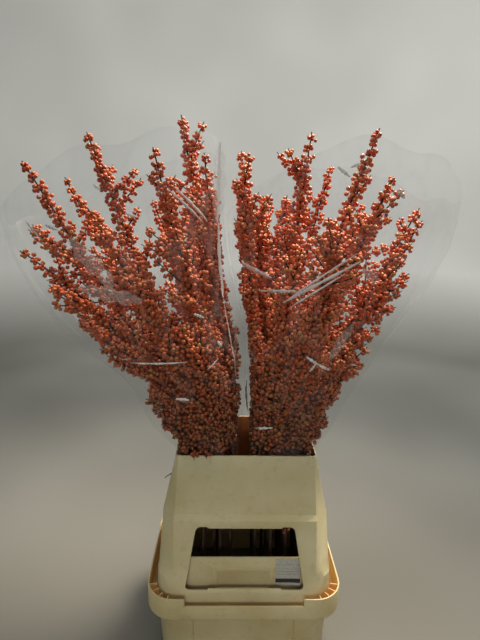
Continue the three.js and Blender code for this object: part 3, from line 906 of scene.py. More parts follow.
@dataclass
class FlowerBucket:
    """Bucket with an upright rim, a channel brim with corner ribs, and recessed panels."""

    height: float = 232.0
    wall: float = 3.0
    base: Plan = Plan(172, 124.5, 46)
    body: Plan = Plan(178.5, 131, 50)
    upright: Plan = Plan(159, 114, 56)
    brim: Plan = Plan(197.5, 147.5, 55)
    collar_foot: Plan = Plan(179.5, 134, 48)
    base_edge: float = 7.0
    base_slope: float = 5.0
    base_slope_top: float = 2.0
    brim_bottom: float = 112.0
    brim_top: float = 163.0
    brim_roll: float = 6.0
    roll_steps: int = 4
    channel_floor: float = 118.0
    channel_inset: float = 8.0
    dip_half: float = 118.0
    dip_depth: float = 16.0
    panel_half_x: float = 103.0
    panel_half_y: float = 70.0
    panel_depth: float = 7.0
    panel_bottom: float = 16.0
    panel_top: float = 107.0
    ribs: int = 4
    rib_thick: float = 2.2
    rib_spread: float = 66.0
    rib_reach: float = 110.0
    rib_bottom: float = 116.0
    rib_top: float = 159.0
    collar_room: float = 1.0
    frame_x: float = -3.0
    frame_half: float = 60.0
    frame_bottom: float = 153.0
    frame_top: float = 207.0
    frame_bar: float = 8.0
    frame_proud: float = 1.2
    edge_round: float = 0.8
    glow_margin: float = 0.6
    far: float = 260.0

    def panels(self, grow: float) -> list[Object]:
        """Make the boxes that recess the panels between the corner posts.

        Args:
            grow: how far they grow inwards and past their edges.

        Returns:
            Four boxes that reach far out of the bucket.
        """
        low, high = self.panel_bottom - grow, self.panel_top + grow
        half_x, half_y = self.panel_half_x + grow, self.panel_half_y + grow
        boxes = []
        for sign in (-1, 1):
            near_y = sign * (self.body.half_y - self.panel_depth - grow)
            near_x = sign * (self.body.half_x - self.panel_depth - grow)
            boxes.append(add_box("panel", (-half_x, min(near_y, sign * self.far), low),
                                 (half_x, max(near_y, sign * self.far), high)))
            boxes.append(add_box("panel", (min(near_x, sign * self.far), -half_y, low),
                                 (max(near_x, sign * self.far), half_y, high)))
        return boxes

    def brim_form(self, inset: float) -> Object:
        """Make the brim's outer form, rolled under at its foot.

        Args:
            inset: how far it is drawn in.

        Returns:
            The form.
        """
        roll = self.brim_roll
        rings = []
        for step in range(self.roll_steps + 1):
            turn = step / self.roll_steps * math.pi / 2
            rings.append(plan_ring(self.brim_bottom + roll * (1 - math.cos(turn)), self.brim,
                                   roll * (1 - math.sin(turn)) + inset))
        return loft("brim", [*rings, plan_ring(self.brim_top, self.brim, inset)])

    def corner_ribs(self) -> Object:
        """Make the thin ribs that bridge the channel at the brim's corners.

        Returns:
            All ribs as one object, clear of the collar's foot.
        """
        bars = []
        half = self.rib_thick / 2
        for sign_x, sign_y in ((-1, -1), (-1, 1), (1, -1), (1, 1)):
            centre = Vector((sign_x * (self.brim.half_x - self.brim.corner),
                             sign_y * (self.brim.half_y - self.brim.corner), 0))
            for rib in range(self.ribs):
                fan = rib / (self.ribs - 1) - 0.5
                angle = math.pi / 4 + math.radians(self.rib_spread) * fan
                bar = add_box("rib", (0, -half, self.rib_bottom),
                              (self.rib_reach, half, self.rib_top))
                turn = math.atan2(sign_y * math.sin(angle), sign_x * math.cos(angle))
                bar.data.transform(Matrix.Translation(centre * MM) @ Matrix.Rotation(turn, 4, "Z"))
                bars.append(bar)
        select_only(*bars)
        bpy.ops.object.join()
        joined = bpy.context.object
        combine(joined, self.brim_form(self.wall / 2), "INTERSECT")
        inside = loft("inside", [plan_ring(height, self.collar_foot, -self.collar_room)
                                 for height in (self.brim_bottom - 1, self.brim_top + 1)])
        combine(joined, inside, "DIFFERENCE")
        return joined

    def name_frame(self) -> Object:
        """Make the raised frame on the rim's front, with nothing written in it.

        Returns:
            The frame.
        """
        front = -self.upright.half_y
        left, right = self.frame_x - self.frame_half, self.frame_x + self.frame_half
        plate = add_box("frame", (left, front - self.frame_proud, self.frame_bottom),
                        (right, front + 1, self.frame_top))
        bar = self.frame_bar
        hole = add_box("hole", (left + bar, front - 9, self.frame_bottom + bar),
                       (right - bar, front + 9, self.frame_top - bar))
        combine(plate, hole, "DIFFERENCE")
        return plate

    def paint_channel_glow(self, bucket: Object) -> None:
        """Give the channel's inside the second finish, a painted glow of the light that reaches
        through the brim.

        Args:
            bucket: the finished bucket, dressed in both finishes.
        """
        margin = self.glow_margin
        for face in bucket.data.polygons:
            middle = face.center / MM
            in_height = self.channel_floor - margin < middle.z < self.brim_top - margin
            in_plan = (outside(self.upright, middle) > margin
                       and outside(self.brim, middle) < margin - self.wall)
            # The painted glow stays off rib tops that face up, which take the light from above.
            crown = face.normal.z > 0.7 and middle.z > self.rib_top - margin
            if in_height and in_plan and not crown:
                face.material_index = 1

    def build(self) -> Object:
        """Make the bucket: outer form, brim and ribs, less channel, dips, panels and cavity.

        Returns:
            The bucket, with its edges rounded.
        """
        shoulder = self.brim_bottom + 1
        bucket = loft("bucket_moulded", [
            plan_ring(0, self.base, self.base_edge),
            plan_ring(self.base_slope_top, self.base, self.base_edge - self.base_slope),
            plan_ring(self.base_edge, self.base), plan_ring(shoulder, self.body),
            plan_ring(shoulder + 1, self.upright), plan_ring(self.height, self.upright)])
        for panel in self.panels(0):
            combine(bucket, panel, "DIFFERENCE")
        brim = self.brim_form(0)
        channel = loft("channel", [
            plan_ring(self.channel_floor, self.brim, self.channel_inset),
            plan_ring(self.brim_bottom + self.brim_roll + self.wall, self.brim, self.wall),
            plan_ring(self.brim_top + 1, self.brim, self.wall)])
        combine(brim, channel, "DIFFERENCE")
        combine(brim, loft("upright", [plan_ring(self.channel_floor - 1, self.upright),
                                       plan_ring(self.brim_top + 2, self.upright)]), "UNION")
        combine(brim, self.corner_ribs(), "UNION")
        combine(bucket, brim, "UNION")
        dip_bottom = self.brim_top - self.dip_depth
        for sign in (-1, 1):
            near, far = sign * (self.brim.half_y - self.wall - 2), sign * (self.brim.half_y + 2)
            dip = add_box("dip", (-self.dip_half, min(near, far), dip_bottom),
                          (self.dip_half, max(near, far), self.brim_top + 1))
            combine(bucket, dip, "DIFFERENCE")
        combine(bucket, self.name_frame(), "UNION")
        cavity = loft("cavity", [
            plan_ring(self.wall, self.base, self.base_edge + 1),
            plan_ring(self.base_edge + self.wall, self.base, self.wall),
            plan_ring(self.brim_bottom - 4, self.body, self.wall),
            plan_ring(shoulder + 1, self.upright, self.wall),
            plan_ring(self.height + 1, self.upright, self.wall)])
        for panel in self.panels(self.wall):
            combine(cavity, panel, "DIFFERENCE")
        combine(bucket, cavity, "DIFFERENCE")
        soften(bucket, self.edge_round)
        return bucket


@dataclass(frozen=True)
class Opening:
    """A window's trapezoid with rounded corners, whose middle stretch may stand in by a step."""

    bottom: float
    top: float
    half_bottom: float
    half_top: float
    corner: float
    step: float = 0.0
    step_half: float = 0.0
    round_steps: int = 6

    def rounded(self, *corners: Pair) -> list[Pair]:
        """Bend one corner between its three control points."""
        shares = [step / self.round_steps for step in range(self.round_steps + 1)]
        return [tuple(quadratic(*values, share) for values in zip(*corners)) for share in shares]

    def outline(self) -> list[Pair]:
        """Draw the opening.

        Returns:
            Points as width and height, anticlockwise.
        """
        bottom, top, low, high, corner = (self.bottom, self.top, self.half_bottom, self.half_top,
                                          self.corner)
        slant = (low - high) / (top - bottom) * corner
        near, far = self.step_half, self.step_half + self.step
        points = []
        if self.step > 0:
            points += [(-far, bottom), (-near, bottom + self.step),
                       (near, bottom + self.step), (far, bottom)]
        raised, lowered = bottom + corner, top - corner
        points += self.rounded((low - corner, bottom), (low, bottom), (low - slant, raised))
        points += self.rounded((high + slant, lowered), (high, top), (high - corner, top))
        if self.step > 0:
            points += [(far, top), (near, top - self.step), (-near, top - self.step), (-far, top)]
        points += self.rounded((-high + corner, top), (-high, top), (-high - slant, lowered))
        points += self.rounded((-low + slant, raised), (-low, bottom), (-low + corner, bottom))
        return points


@dataclass
class TaperedCollar:
    """Collar in the bucket's channel: a window front and back, a grip and a slot in each end."""

    wall: float = 3.0
    corner_shrink: float = 0.6
    rings: tuple[tuple[float, float, float, float, float, float], ...] = (
        (118.4, 179.5, 134, 48, 48, 1), (162, 178, 131.5, 47, 47, 1), (194, 176, 127.5, 37, 37, 1),
        (208, 173, 125, 31, 30, 0), (312, 166.5, 110.5, 26, 39, 0), (320, 164, 101, 24, 31, 0),
        (400, 146, 94, 11, 13, 0), (442, 138, 91, 6, 6, 0.6))
    window: Opening = Opening(169, 300, 119, 97, 11, 3, 72)
    grip: Opening = Opening(328, 396, 50, 50, 4)
    slot: Opening = Opening(152, 194, 58, 58, 4)
    edge_round: float = 0.9
    cut_reach: float = 20.0
    glow_facing: float = 0.5
    glow_upright: float = 0.4

    def ring(self, index: int, inset: float, past: float = 0.0) -> list[Vector]:
        """Lay out one of the collar's rings: half-sizes, cut corners and how round they are.

        Args:
            index: the ring's number, from the foot up.
            inset: how far it is drawn in.
            past: how far it is moved up.

        Returns:
            Its points.
        """
        height, half_x, half_y, cut_x, cut_y, roundness = self.rings[index]
        shrink = self.corner_shrink * inset
        return corner_ring(height + past, half_x - inset, half_y - inset, cut_x - shrink,
                           cut_y - shrink, roundness)

    def cut_through(self, collar: Object, opening: Opening, endwise: bool) -> None:
        """Cut an opening through both faces.

        Args:
            collar: the collar's shell.
            opening: the opening's form.
            endwise: cut from end to end, and not from front to back.
        """
        reach = self.rings[0][1] + self.cut_reach
        rings = [[Vector((along, -across, up)) if endwise else Vector((across, along, up))
                  for across, up in opening.outline()] for along in (reach, -reach)]
        combine(collar, loft("cutter", rings), "DIFFERENCE")

    def paint_inside_glow(self, collar: Object) -> None:
        """Give the faces that look into the collar the second finish: a painted orange glow of light
        soaking through the plastic, and painted shade of the collar's inside.

        Args:
            collar: the finished collar, dressed in both finishes.
        """
        for face in collar.data.polygons:
            inwards = face.normal.x * face.center.x + face.normal.y * face.center.y
            across = math.hypot(face.center.x, face.center.y)
            # Faces that look inwards take the painted glow and shade.
            if inwards < -self.glow_facing * across and abs(face.normal.z) < self.glow_upright:
                face.material_index = 1

    def build(self) -> Object:
        """Make the collar's shell, then cut its windows, grips and slots.

        Returns:
            The collar, with its edges rounded.
        """
        count = len(self.rings)
        past = {0: -1.0, count - 1: 1.0}
        collar = loft("collar_moulded", [self.ring(index, 0) for index in range(count)])
        inner = loft("inner", [self.ring(index, self.wall, past.get(index, 0.0))
                               for index in range(count)])
        combine(collar, inner, "DIFFERENCE")
        self.cut_through(collar, self.window, False)
        self.cut_through(collar, self.grip, True)
        self.cut_through(collar, self.slot, True)
        soften(collar, self.edge_round)
        return collar


@dataclass
class PaperLabel:
    """Paper label on the bucket's front, with one corner lifting."""

    x: float = 88.0
    width: float = 50.0
    bottom: float = 168.0
    top: float = 229.0
    front: float = -114.3
    thick: float = 0.3
    lift: float = 5.76
    curl_from: float = 1.35
    cuts: int = 15
    crease_deg: float = 30.0

    def build(self) -> Object:
        """Make the label: a face, divided, curled at its corner and given thickness.

        Returns:
            The label.
        """
        select_none()
        middle = (self.x * MM, (self.front - self.thick) * MM, (self.bottom + self.top) / 2 * MM)
        bpy.ops.mesh.primitive_plane_add(size=1.0, location=middle, rotation=(math.pi / 2, 0, 0))
        label = bpy.context.object
        label.name = "label_curled"
        label.scale = (self.width * MM, (self.top - self.bottom) * MM, 1)
        bpy.ops.object.transform_apply(location=True, rotation=True, scale=True)
        bpy.ops.object.mode_set(mode="EDIT")
        bpy.ops.mesh.subdivide(number_cuts=self.cuts)
        mesh = bmesh.from_edit_mesh(label.data)
        for point in mesh.verts:
            side = (point.co.x / MM - self.x) / self.width + 0.5
            down = (self.top - point.co.z / MM) / (self.top - self.bottom)
            point.co.y -= self.lift * max(side + down - self.curl_from, 0.0) ** 2 * MM
        bmesh.update_edit_mesh(label.data)
        bpy.ops.object.mode_set(mode="OBJECT")
        apply_modifier(label, "SOLIDIFY", thickness=self.thick * MM, offset=-1.0)
        select_only(label)
        bpy.ops.object.shade_smooth_by_angle(angle=math.radians(self.crease_deg))
        return label


# Film sleeves


@dataclass(frozen=True)
class FilmShape:
    """A sleeve's form: sections at some heights, and a slanted, arched rim.

    Each ring is its height, its outer and inner edge, half its depth and how square it is.
    """

    side: Side
    rim_outer: float
    rim_inner: float
    rim_arch: float
    rings: tuple[tuple[float, float, float, float, float], ...]
    sides: int = 16
    thick: float = 0.8

    def corner_angles(self) -> Array:
        """Give the angles of the solid sleeve's corners."""
        return (np.arange(self.sides) + 0.5) * FULL_TURN / self.sides

    def section(self, outer: Any, inner: Any, depth: Any, square: Any,
                angle: Array) -> tuple[Array, Array]:
        """Draw a superellipse section.

        Args:
            outer: how far its outer edge is from the bucket's middle.
            inner: how far its inner edge is.
            depth: half its depth.
            square: 2 for an ellipse, and more for a squarer form.
            angle: angles round it.

        Returns:
            Its x and y at the angles.
        """
        power = 2 / square
        across = np.sign(np.cos(angle)) * np.abs(np.cos(angle)) ** power
        along = np.sign(np.sin(angle)) * np.abs(np.sin(angle)) ** power
        centre = self.side.value * (outer + inner) / 2
        return centre + across * (outer - inner) / 2, along * depth

    def rim_height(self, angle: Array) -> Array:
        """Give the rim's height.

        Args:
            angle: angles round it.

        Returns:
            The height at each.
        """
        outward = self.side.value * np.cos(angle)
        slant = lerp(self.rim_inner, self.rim_outer, (1 + outward) / 2)
        return slant + self.rim_arch * (1 - outward ** 2)

    def room(self, points: Array) -> Array:
        """Measure the room from points to the sleeve's solid wall, level with them.

        Args:
            points: rows of x, y and z.

        Returns:
            A distance for each, negative outside the sleeve.
        """
        heights = np.array([ring[0] for ring in self.rings], dtype=float)
        angle = self.corner_angles()
        corners = np.array([np.stack(self.section(*ring[1:], angle), axis=-1)
                            for ring in self.rings])
        z = np.maximum(points[:, 2], heights[0])
        low = np.clip(np.searchsorted(heights, z, side="right") - 1, 0, len(heights) - 2)
        share = ((z - heights[low]) / (heights[low + 1] - heights[low]))[:, None, None]
        ring = lerp(corners[low], corners[low + 1], share)
        edge = np.roll(ring, -1, axis=1) - ring
        away = (edge[..., 0] * (points[:, None, 1] - ring[..., 1])
                - edge[..., 1] * (points[:, None, 0] - ring[..., 0]))
        return (away / np.hypot(edge[..., 0], edge[..., 1])).min(axis=1)

    def top_rim(self) -> float:
        """Give the rim's highest corner."""
        return float(self.rim_height(self.corner_angles()).max())

    def surface(self, angle: Array, height: Array) -> Array:
        """Give smooth points of the sleeve.

        Args:
            angle: angles round it.
            height: heights there.

        Returns:
            Rows of x, y and z.
        """
        heights, *columns = np.array(self.rings, dtype=float).T
        outer, inner, depth, square = (smooth_between(heights, column, height)
                                       for column in columns)
        x, y = self.section(outer, inner, depth, np.maximum(square, 2.0), angle)
        return np.stack([x, y, height], axis=-1)


FILM_SHAPES = {
    Side.LEFT: FilmShape(Side.LEFT, 878, 1030, 30, (
        (335, 140, 12, 88, 6), (442, 134.6, 14, 87.4, 8), (520, 204, 4, 120, 3),
        (600, 246, 3, 152, 2.4), (680, 343, 12, 190, 2.1), (760, 397, 32, 213, 2),
        (840, 433, 46, 216, 2), (1040, 446, 56, 212, 2))),
    Side.RIGHT: FilmShape(Side.RIGHT, 926, 905, 92, (
        (335, 140, 6, 88, 6), (442, 134.6, 8, 87.4, 8), (520, 182, 3, 120, 3),
        (600, 222, 3, 150, 2.4), (680, 266, -6, 186, 2.1), (760, 320, -25, 213, 2),
        (840, 362, -38, 206, 2), (1040, 378, -46, 200, 2))),
}


def films_of(side: Side) -> tuple[FilmShape, FilmShape]:
    """Give a bunch's own sleeve and the other bunch's."""
    return FILM_SHAPES[side], FILM_SHAPES[Side(-side.value)]


@dataclass(frozen=True)
class Fold:
    """A sharp fold in the film, between two places given as angle in degrees and height, whose white
    finish paints a highlight.
    """

    start: Pair
    end: Pair
    width: float
    flat: bool = False
    stands: bool = False


# Folds set along the film's brightest streaks, whose white finishes paint those highlights.
FOLDS = {
    Side.LEFT: (
        Fold((-11, 1023), (-20, 880), 22, True, True),
        Fold((-12, 1020), (-20, 884), 6, False, True),
        Fold((-18, 884), (-27, 755), 6, False, True), Fold((-27, 755), (-37, 608), 4),
        Fold((-51, 939), (-31, 886), 5), Fold((-54, 935), (-36, 888), 4),
        Fold((-118, 884), (-112, 860), 4), Fold((-108, 880), (-102, 873), 5),
        Fold((-98, 862), (-85, 792), 26, True), Fold((-102, 788), (-75, 769), 22, True),
        Fold((-73, 899), (-69, 893), 6), Fold((-85, 938), (-82, 930), 4),
        Fold((-52, 740), (-47, 731), 5), Fold((-44, 686), (-42, 674), 7),
        Fold((-100, 661), (-70, 660), 3), Fold((-93, 584), (-86, 582), 5),
        Fold((-60, 640), (-48, 655), 4)),
    Side.RIGHT: (
        Fold((-103, 970), (-98, 956), 5), Fold((-98, 969), (-94, 975), 4),
        Fold((-79, 939), (-75, 927), 6), Fold((-89, 824), (-80, 803), 15, True),
        Fold((-124, 763), (-90, 834), 5), Fold((-122, 768), (-92, 846), 3),
        Fold((-120, 757), (-96, 815), 3), Fold((-92, 757), (-89, 750), 5),
        Fold((-105, 674), (-95, 660), 5), Fold((-95, 660), (-88, 651), 5),
        Fold((-97, 663), (-99, 645), 4),
        Fold((-90, 671), (-86, 737), 16, True), Fold((-153, 818), (-130, 801), 8),
        Fold((-139, 776), (-117, 785), 5), Fold((-179, 566), (-167, 516), 14),
        Fold((-165, 648), (-147, 638), 16, True), Fold((-139, 501), (-109, 514), 5)),
}


@dataclass
class FilmSleeve:
    """A sleeve of clear film round one bunch: billowed, creased, gathered at the collar."""

    shape: FilmShape
    columns: int = 160
    rows: int = 90
    seed: int = 41
    crease_sites: int = 210
    crease_span: Pair = (430.0, 1060.0)
    crease_reach: float = 210.0
    crease_stretch: float = 0.42
    crease_width: float = 5.0
    crease_height: float = 2.6
    loose_from: float = 470.0
    loose_rise: float = 160.0
    billow_height: float = 3.0
    gather_height: float = 442.0
    gather_reach: float = 55.0
    pleats: int = 17
    pleat_depth: float = 3.5
    rim_waves: Pair = (5.0, 4.0)
    rim_highlight_from: float = 0.985
    ribbon_steps: int = 18
    ribbon_rise: float = 1.4
    crown: float = 0.45
    flat_crown: float = 0.1

    @property
    def name(self) -> str:
        """The sleeve's node."""
        return f"sleeve_{self.shape.side.name.lower()}"

    def relief(self, angle: Array, height: Array) -> tuple[Array, Array]:
        """Work out how far the film stands out, and where it is creased.

        Args:
            angle: places round the sleeve.
            height: heights there.

        Returns:
            The distance outwards in millimetres, and the crease from 0 to 1.
        """
        draw = np.random.default_rng(self.seed + self.shape.side.value)
        site_angle = draw.uniform(0, FULL_TURN, self.crease_sites)
        site_height = draw.uniform(*self.crease_span, self.crease_sites)
        tilt = draw.uniform(0.4, 1.0, self.crease_sites)
        round_way = (angle[..., None] - site_angle + math.pi) % FULL_TURN - math.pi
        far = np.hypot(round_way * self.crease_reach,
                       (height[..., None] - site_height) * self.crease_stretch)
        nearest = np.argmin(far, axis=-1)
        ordered = np.partition(far, 1, axis=-1)
        gap = ordered[..., 1] - ordered[..., 0]
        crease = np.exp(-gap / self.crease_width) * tilt[nearest]
        loose = np.clip((height - self.loose_from) / self.loose_rise, 0, 1)
        billow = (np.sin(3 * angle + height / 90) + np.sin(5 * angle - height / 61 + 1.3)) / 2
        out = loose * (self.crease_height * crease + self.billow_height * (0.45 + 0.55 * billow))
        gather = np.exp(-((height - self.gather_height) / self.gather_reach) ** 2)
        pleat = np.abs(np.sin(self.pleats * angle / 2 + 0.6 * np.sin(3 * angle)))
        out -= self.pleat_depth * gather * pleat
        return out, crease * loose + 0.5 * gather * (1 - pleat) ** 3

    def lifted(self, angle: Array, height: Array,
               rise: float = 0.0) -> tuple[Array, Array]:
        """Give the creased film's surface.

        Args:
            angle: places round the sleeve.
            height: heights there.
            rise: how far the points are lifted off it.

        Returns:
            The points, and the crease from 0 to 1.
        """
        base = self.shape.surface(angle, height)
        ahead = self.shape.surface(angle + 0.01, height) - self.shape.surface(angle - 0.01, height)
        flat = ahead[..., :2] / (np.linalg.norm(ahead[..., :2], axis=-1, keepdims=True) + 1e-9)
        outwards = np.stack([flat[..., 1], -flat[..., 0], np.zeros_like(flat[..., 0])], axis=-1)
        out, crease = self.relief(angle, height)
        return base + outwards * (out + rise)[..., None], crease

    def sheet(self) -> MeshPart:
        """Make the sleeve's sheet as a grid of faces, open at both ends.

        Returns:
            The sheet, white along its creases, partly as the film's own whitening and partly as
            painted highlight, and white along its rim as painted highlight.
        """
        turn = np.arange(self.columns) / self.columns * FULL_TURN
        climb = np.linspace(0, 1, self.rows + 1)
        angle = np.broadcast_to(turn, (self.rows + 1, self.columns))
        slow, quick = self.rim_waves
        waver = slow * np.sin(7 * turn + 1) + quick * np.sin(11 * turn)
        rim = self.shape.rim_height(turn) + waver
        start = self.shape.rings[0][0]
        height = start + (rim - start)[None, :] * climb[:, None]
        points, crease = self.lifted(angle, height)
        row, column = np.arange(self.rows)[:, None] * self.columns, np.arange(self.columns)
        low, beside = row + column, row + (column + 1) % self.columns
        faces = np.stack([low, beside, beside + self.columns, low + self.columns], axis=-1)
        # Painted highlight along the rim.
        edge = np.clip((climb[:, None] - self.rim_highlight_from) / (1 - self.rim_highlight_from), 0, 1)
        return MeshPart(points.reshape(-1, 3), faces.reshape(-1), np.full(faces.size // 4, 4), 0,
                        {"fold": np.clip(crease + 0.4 * edge, 0, 1).reshape(-1)})

    def ribbon(self, fold: Fold) -> MeshPart:
        """Make one fold: a narrow pleat that stands a little off the sheet, in a white finish that
        paints a highlight.

        Args:
            fold: its ends and form.

        Returns:
            The pleat.
        """
        share = np.linspace(0, 1, self.ribbon_steps + 1)
        angle = np.radians(lerp(fold.start[0], fold.end[0], share))
        height = lerp(fold.start[1], fold.end[1], share)
        middle, _ = self.lifted(angle, height, self.ribbon_rise)
        run = np.gradient(middle, axis=0)
        run /= np.linalg.norm(run, axis=1, keepdims=True)
        out = self.lifted(angle, height, self.ribbon_rise + 1)[0] - middle
        across = np.cross(out, run)
        if fold.stands:
            across = np.cross(run, np.array([0.0, 1.0, 0.0]))
        taper = np.sin(np.pi * np.clip(share, 0.02, 0.98)) ** 0.5
        uneven = 1 + 0.25 * np.sin(share * 23 + fold.width)
        half = (fold.width / 2 * taper * uneven)[:, None]
        crown = out * half * (self.flat_crown if fold.flat else self.crown)
        rows = np.stack([middle - across * half, middle + crown, middle + across * half], axis=1)
        low = np.arange(self.ribbon_steps)[:, None] * 3 + np.arange(2)
        faces = np.stack([low, low + 1, low + 4, low + 3], axis=-1)
        return MeshPart(rows.reshape(-1, 3), faces.reshape(-1), np.full(faces.size // 4, 4),
                        2 if fold.flat else 1)

    def build(self, finishes: list[Material]) -> Object:
        """Make the sleeve with its folds, whose white finishes paint highlights."""
        parts = [self.sheet()] + [self.ribbon(fold) for fold in FOLDS[self.shape.side]]
        return join_parts(f"{self.name}_creased", parts, finishes)


# Branches


@dataclass
class Stem:
    """One branch's skeleton: a straight foot, a bent shoot and its side twigs."""

    side: Side
    number: int
    foot: Array
    neck: Array
    curve: BentLine
    twigs: list[BentLine] = field(default_factory=list)

    @property
    def node(self) -> str:
        """The branch's node."""
        return f"branch_{self.side.name.lower()}_{self.number:02d}"

    @property
    def owner(self) -> int:
        """The number that the branch's own wood is known by."""
        return self.number + 100 * self.side.value


@dataclass(frozen=True)
class Throat:
    """Where a bunch's stems pass the collar's opening."""

    x: float
    half_x: float
    half_y: float
    lean_x: float
    lean_y: float


@dataclass
class BunchGrower:
    """Grows both bunches' skeletons by the same rule as the solids."""

    throat_z: float = 442.0
    fan_apex_z: float = 300.0
    stem_spacing: float = 34.0
    spacing_rounds: int = 80
    spacing_push: float = 0.25
    foot_z: float = 4.3
    foot_spread: float = 1.14
    stem_bare: float = 5.2
    stem_clad: float = 4.4
    tip_reach: float = 8.5
    berry_reach: float = 10.8
    twig_count: int = 4
    twig_tries: int = 7
    twig_shortest: float = 50.0
    twig_longest: float = 125.0
    twig_span: Pair = (0.1, 0.84)
    twig_lean: Pair = (0.55, 1.05)
    between_branches: float = 1.0
    film_room: float = 2.0
    film_slope: float = 1.35
    ball_step: float = 8.0
    foot_steps: int = 40
    seed_first: int = 1000
    seed_step: int = 37
    throats: dict[Side, Throat] = field(default_factory=lambda: {
        Side.LEFT: Throat(-74, 42, 69, 0.62, 0.42), Side.RIGHT: Throat(71, 45, 69, 0.55, 0.42)})
    tips: dict[Side, tuple[tuple[float, float, float, float], ...]] = field(default_factory=lambda: {
        Side.LEFT: (
            (-401, -50, 983, -0.1), (-387, 120, 967, -0.1), (-295, -20, 1037, -0.1),
            (-167, -90, 1005, 0), (-131, 20, 1076, 0), (-85, -45, 1003, 0), (-420, 15, 872, 0.15),
            (-410, -70, 829, 0.25), (-371, -36, 746, 0.45), (-303, -95, 700, 0.5),
            (-201, -190, 807, 0.2), (-128, -150, 884, 0), (-262, -150, 905, 0),
            (-112, -170, 700, 0.3), (-215, 185, 925, 0), (-124, 128, 950, 0),
            (-350, 150, 820, 0.2), (-190, 195, 740, 0.3)),
        Side.RIGHT: (
            (110, 0, 1048, 0), (226, -30, 1052, 0), (-18, 10, 1013, 0), (296, 80, 979, -0.1),
            (229, -100, 956, -0.1), (337, 34, 916, -0.1), (352, 50, 892, 0), (286, -55, 823, 0.35),
            (314, -8, 791, 0.3), (268, -31, 755, 0.35), (207, -100, 692, 0.4), (180, 150, 1003, 0),
            (28, 60, 935, 0), (82, 110, 938, 0), (78, -158, 848, 0), (138, -165, 879, 0),
            (114, -180, 760, 0.2), (230, 165, 870, 0.1), (140, 195, 760, 0.2)),
    })

    def throat_places(self, side: Side) -> Array:
        """Spread a bunch's stems over the throat, then push them evenly apart.

        Args:
            side: which bunch.

        Returns:
            Each stem's x and y there.
        """
        throat = self.throats[side]
        tips = np.array(self.tips[side], dtype=float)
        rise = tips[:, 2] - self.fan_apex_z
        across = throat.x + (tips[:, 0] - throat.x) / rise / throat.lean_x * throat.half_x
        places = np.stack([across, tips[:, 1] / rise / throat.lean_y * throat.half_y], axis=1)
        for _ in range(self.spacing_rounds):
            for first in range(len(places)):
                for second in range(first + 1, len(places)):
                    apart = places[second] - places[first]
                    distance = math.hypot(*apart) + np.finfo(float).eps
                    if distance < self.stem_spacing:
                        push = apart * self.spacing_push * (self.stem_spacing - distance) / distance
                        places[first] -= push
                        places[second] += push
            places[:, 0] = np.clip(places[:, 0], throat.x - throat.half_x, throat.x + throat.half_x)
            places[:, 1] = np.clip(places[:, 1], -throat.half_y, throat.half_y)
        return places

    def make_stem(self, side: Side, number: int, place: Array) -> Stem:
        """Bend one stem from its foot through the throat to its tip.

        Args:
            side: which bunch.
            number: the branch's number in it.
            place: the stem's x and y in the throat.

        Returns:
            The skeleton, without twigs.
        """
        throat = self.throats[side]
        x, y, z, arch = self.tips[side][number - 1]
        out, up = 0.42 - 0.35 * arch, 0.5 + 0.55 * arch
        foot = np.array([throat.x + (place[0] - throat.x) * self.foot_spread,
                         place[1] * self.foot_spread, self.foot_z])
        neck = np.array([place[0], place[1], self.throat_z])
        bend = np.array([lerp(neck[0], x, out), lerp(neck[1], y, out), lerp(self.throat_z, z, up)])
        tip = np.array([x, y, z], dtype=float)
        return Stem(side, number, foot, neck, BentLine(neck, bend, tip))

    def balls(self, curve: BentLine, extra: float) -> tuple[Array, Array]:
        """Set balls along a shoot that stand for it when rooms are tested.

        Args:
            curve: the shoot.
            extra: how much larger than the shoot the balls are.

        Returns:
            Their centres and radii.
        """
        steps = math.ceil(curve.length / self.ball_step)
        shares = np.arange(steps + 1) / steps
        centres = np.array([curve.point(share) for share in shares])
        narrow = curve.length * shares > curve.length - self.tip_reach
        return centres, np.where(narrow, self.stem_clad, self.berry_reach) + extra

    @staticmethod
    def twig_corners(stem: Stem, share: float, length: float, lean: float,
                     angle: float) -> list[Array]:
        """Slant a twig off the stem and turn it up towards its tip.

        Args:
            stem: the stem that it grows from.
            share: where along the stem.
            length: the twig's length.
            lean: how far it leans away from the stem, in radians.
            angle: which way it leans, in radians.

        Returns:
            Its three control points.
        """
        root, axis = stem.curve.point(share), stem.curve.tangent(share)
        start = axis * math.cos(lean) + sideways(axis, angle) * math.sin(lean)
        end = unit(start + np.array([0, 0, 0.35]))
        middle = root + start * length * 0.55
        return [root, middle, middle + end * length * 0.45]

    def clear(self, centres: Array, radii: Array, own: Side) -> bool:
        """Tell whether balls are well inside their own film and out of the other.

        Args:
            centres: the balls' centres.
            radii: their radii.
            own: their bunch.

        Returns:
            Whether all of them are.
        """
        inner, outer = films_of(own)
        margin = (radii + self.film_room) * self.film_slope + inner.thick
        inside = (inner.room(centres) > margin) | (centres[:, 2] > inner.top_rim() + margin)
        outside = (outer.room(centres) < -margin) | (centres[:, 2] > outer.top_rim() + margin)
        return bool((inside & outside).all())

    def grow(self) -> list[Stem]:
        """Grow every branch's skeleton.

        Returns:
            The left bunch's stems, then the right one's, with their twigs.
        """
        stems = [self.make_stem(side, index + 1, place) for side in Side
                 for index, place in enumerate(self.throat_places(side))]
        centres, radii, owners = [], [], []

        def keep(points: Array, sizes: Array, owner: int) -> None:
            """Remember balls and the branch they belong to."""
            for row, new in ((centres, points), (radii, sizes), (owners, [owner] * len(points))):
                row.append(new)

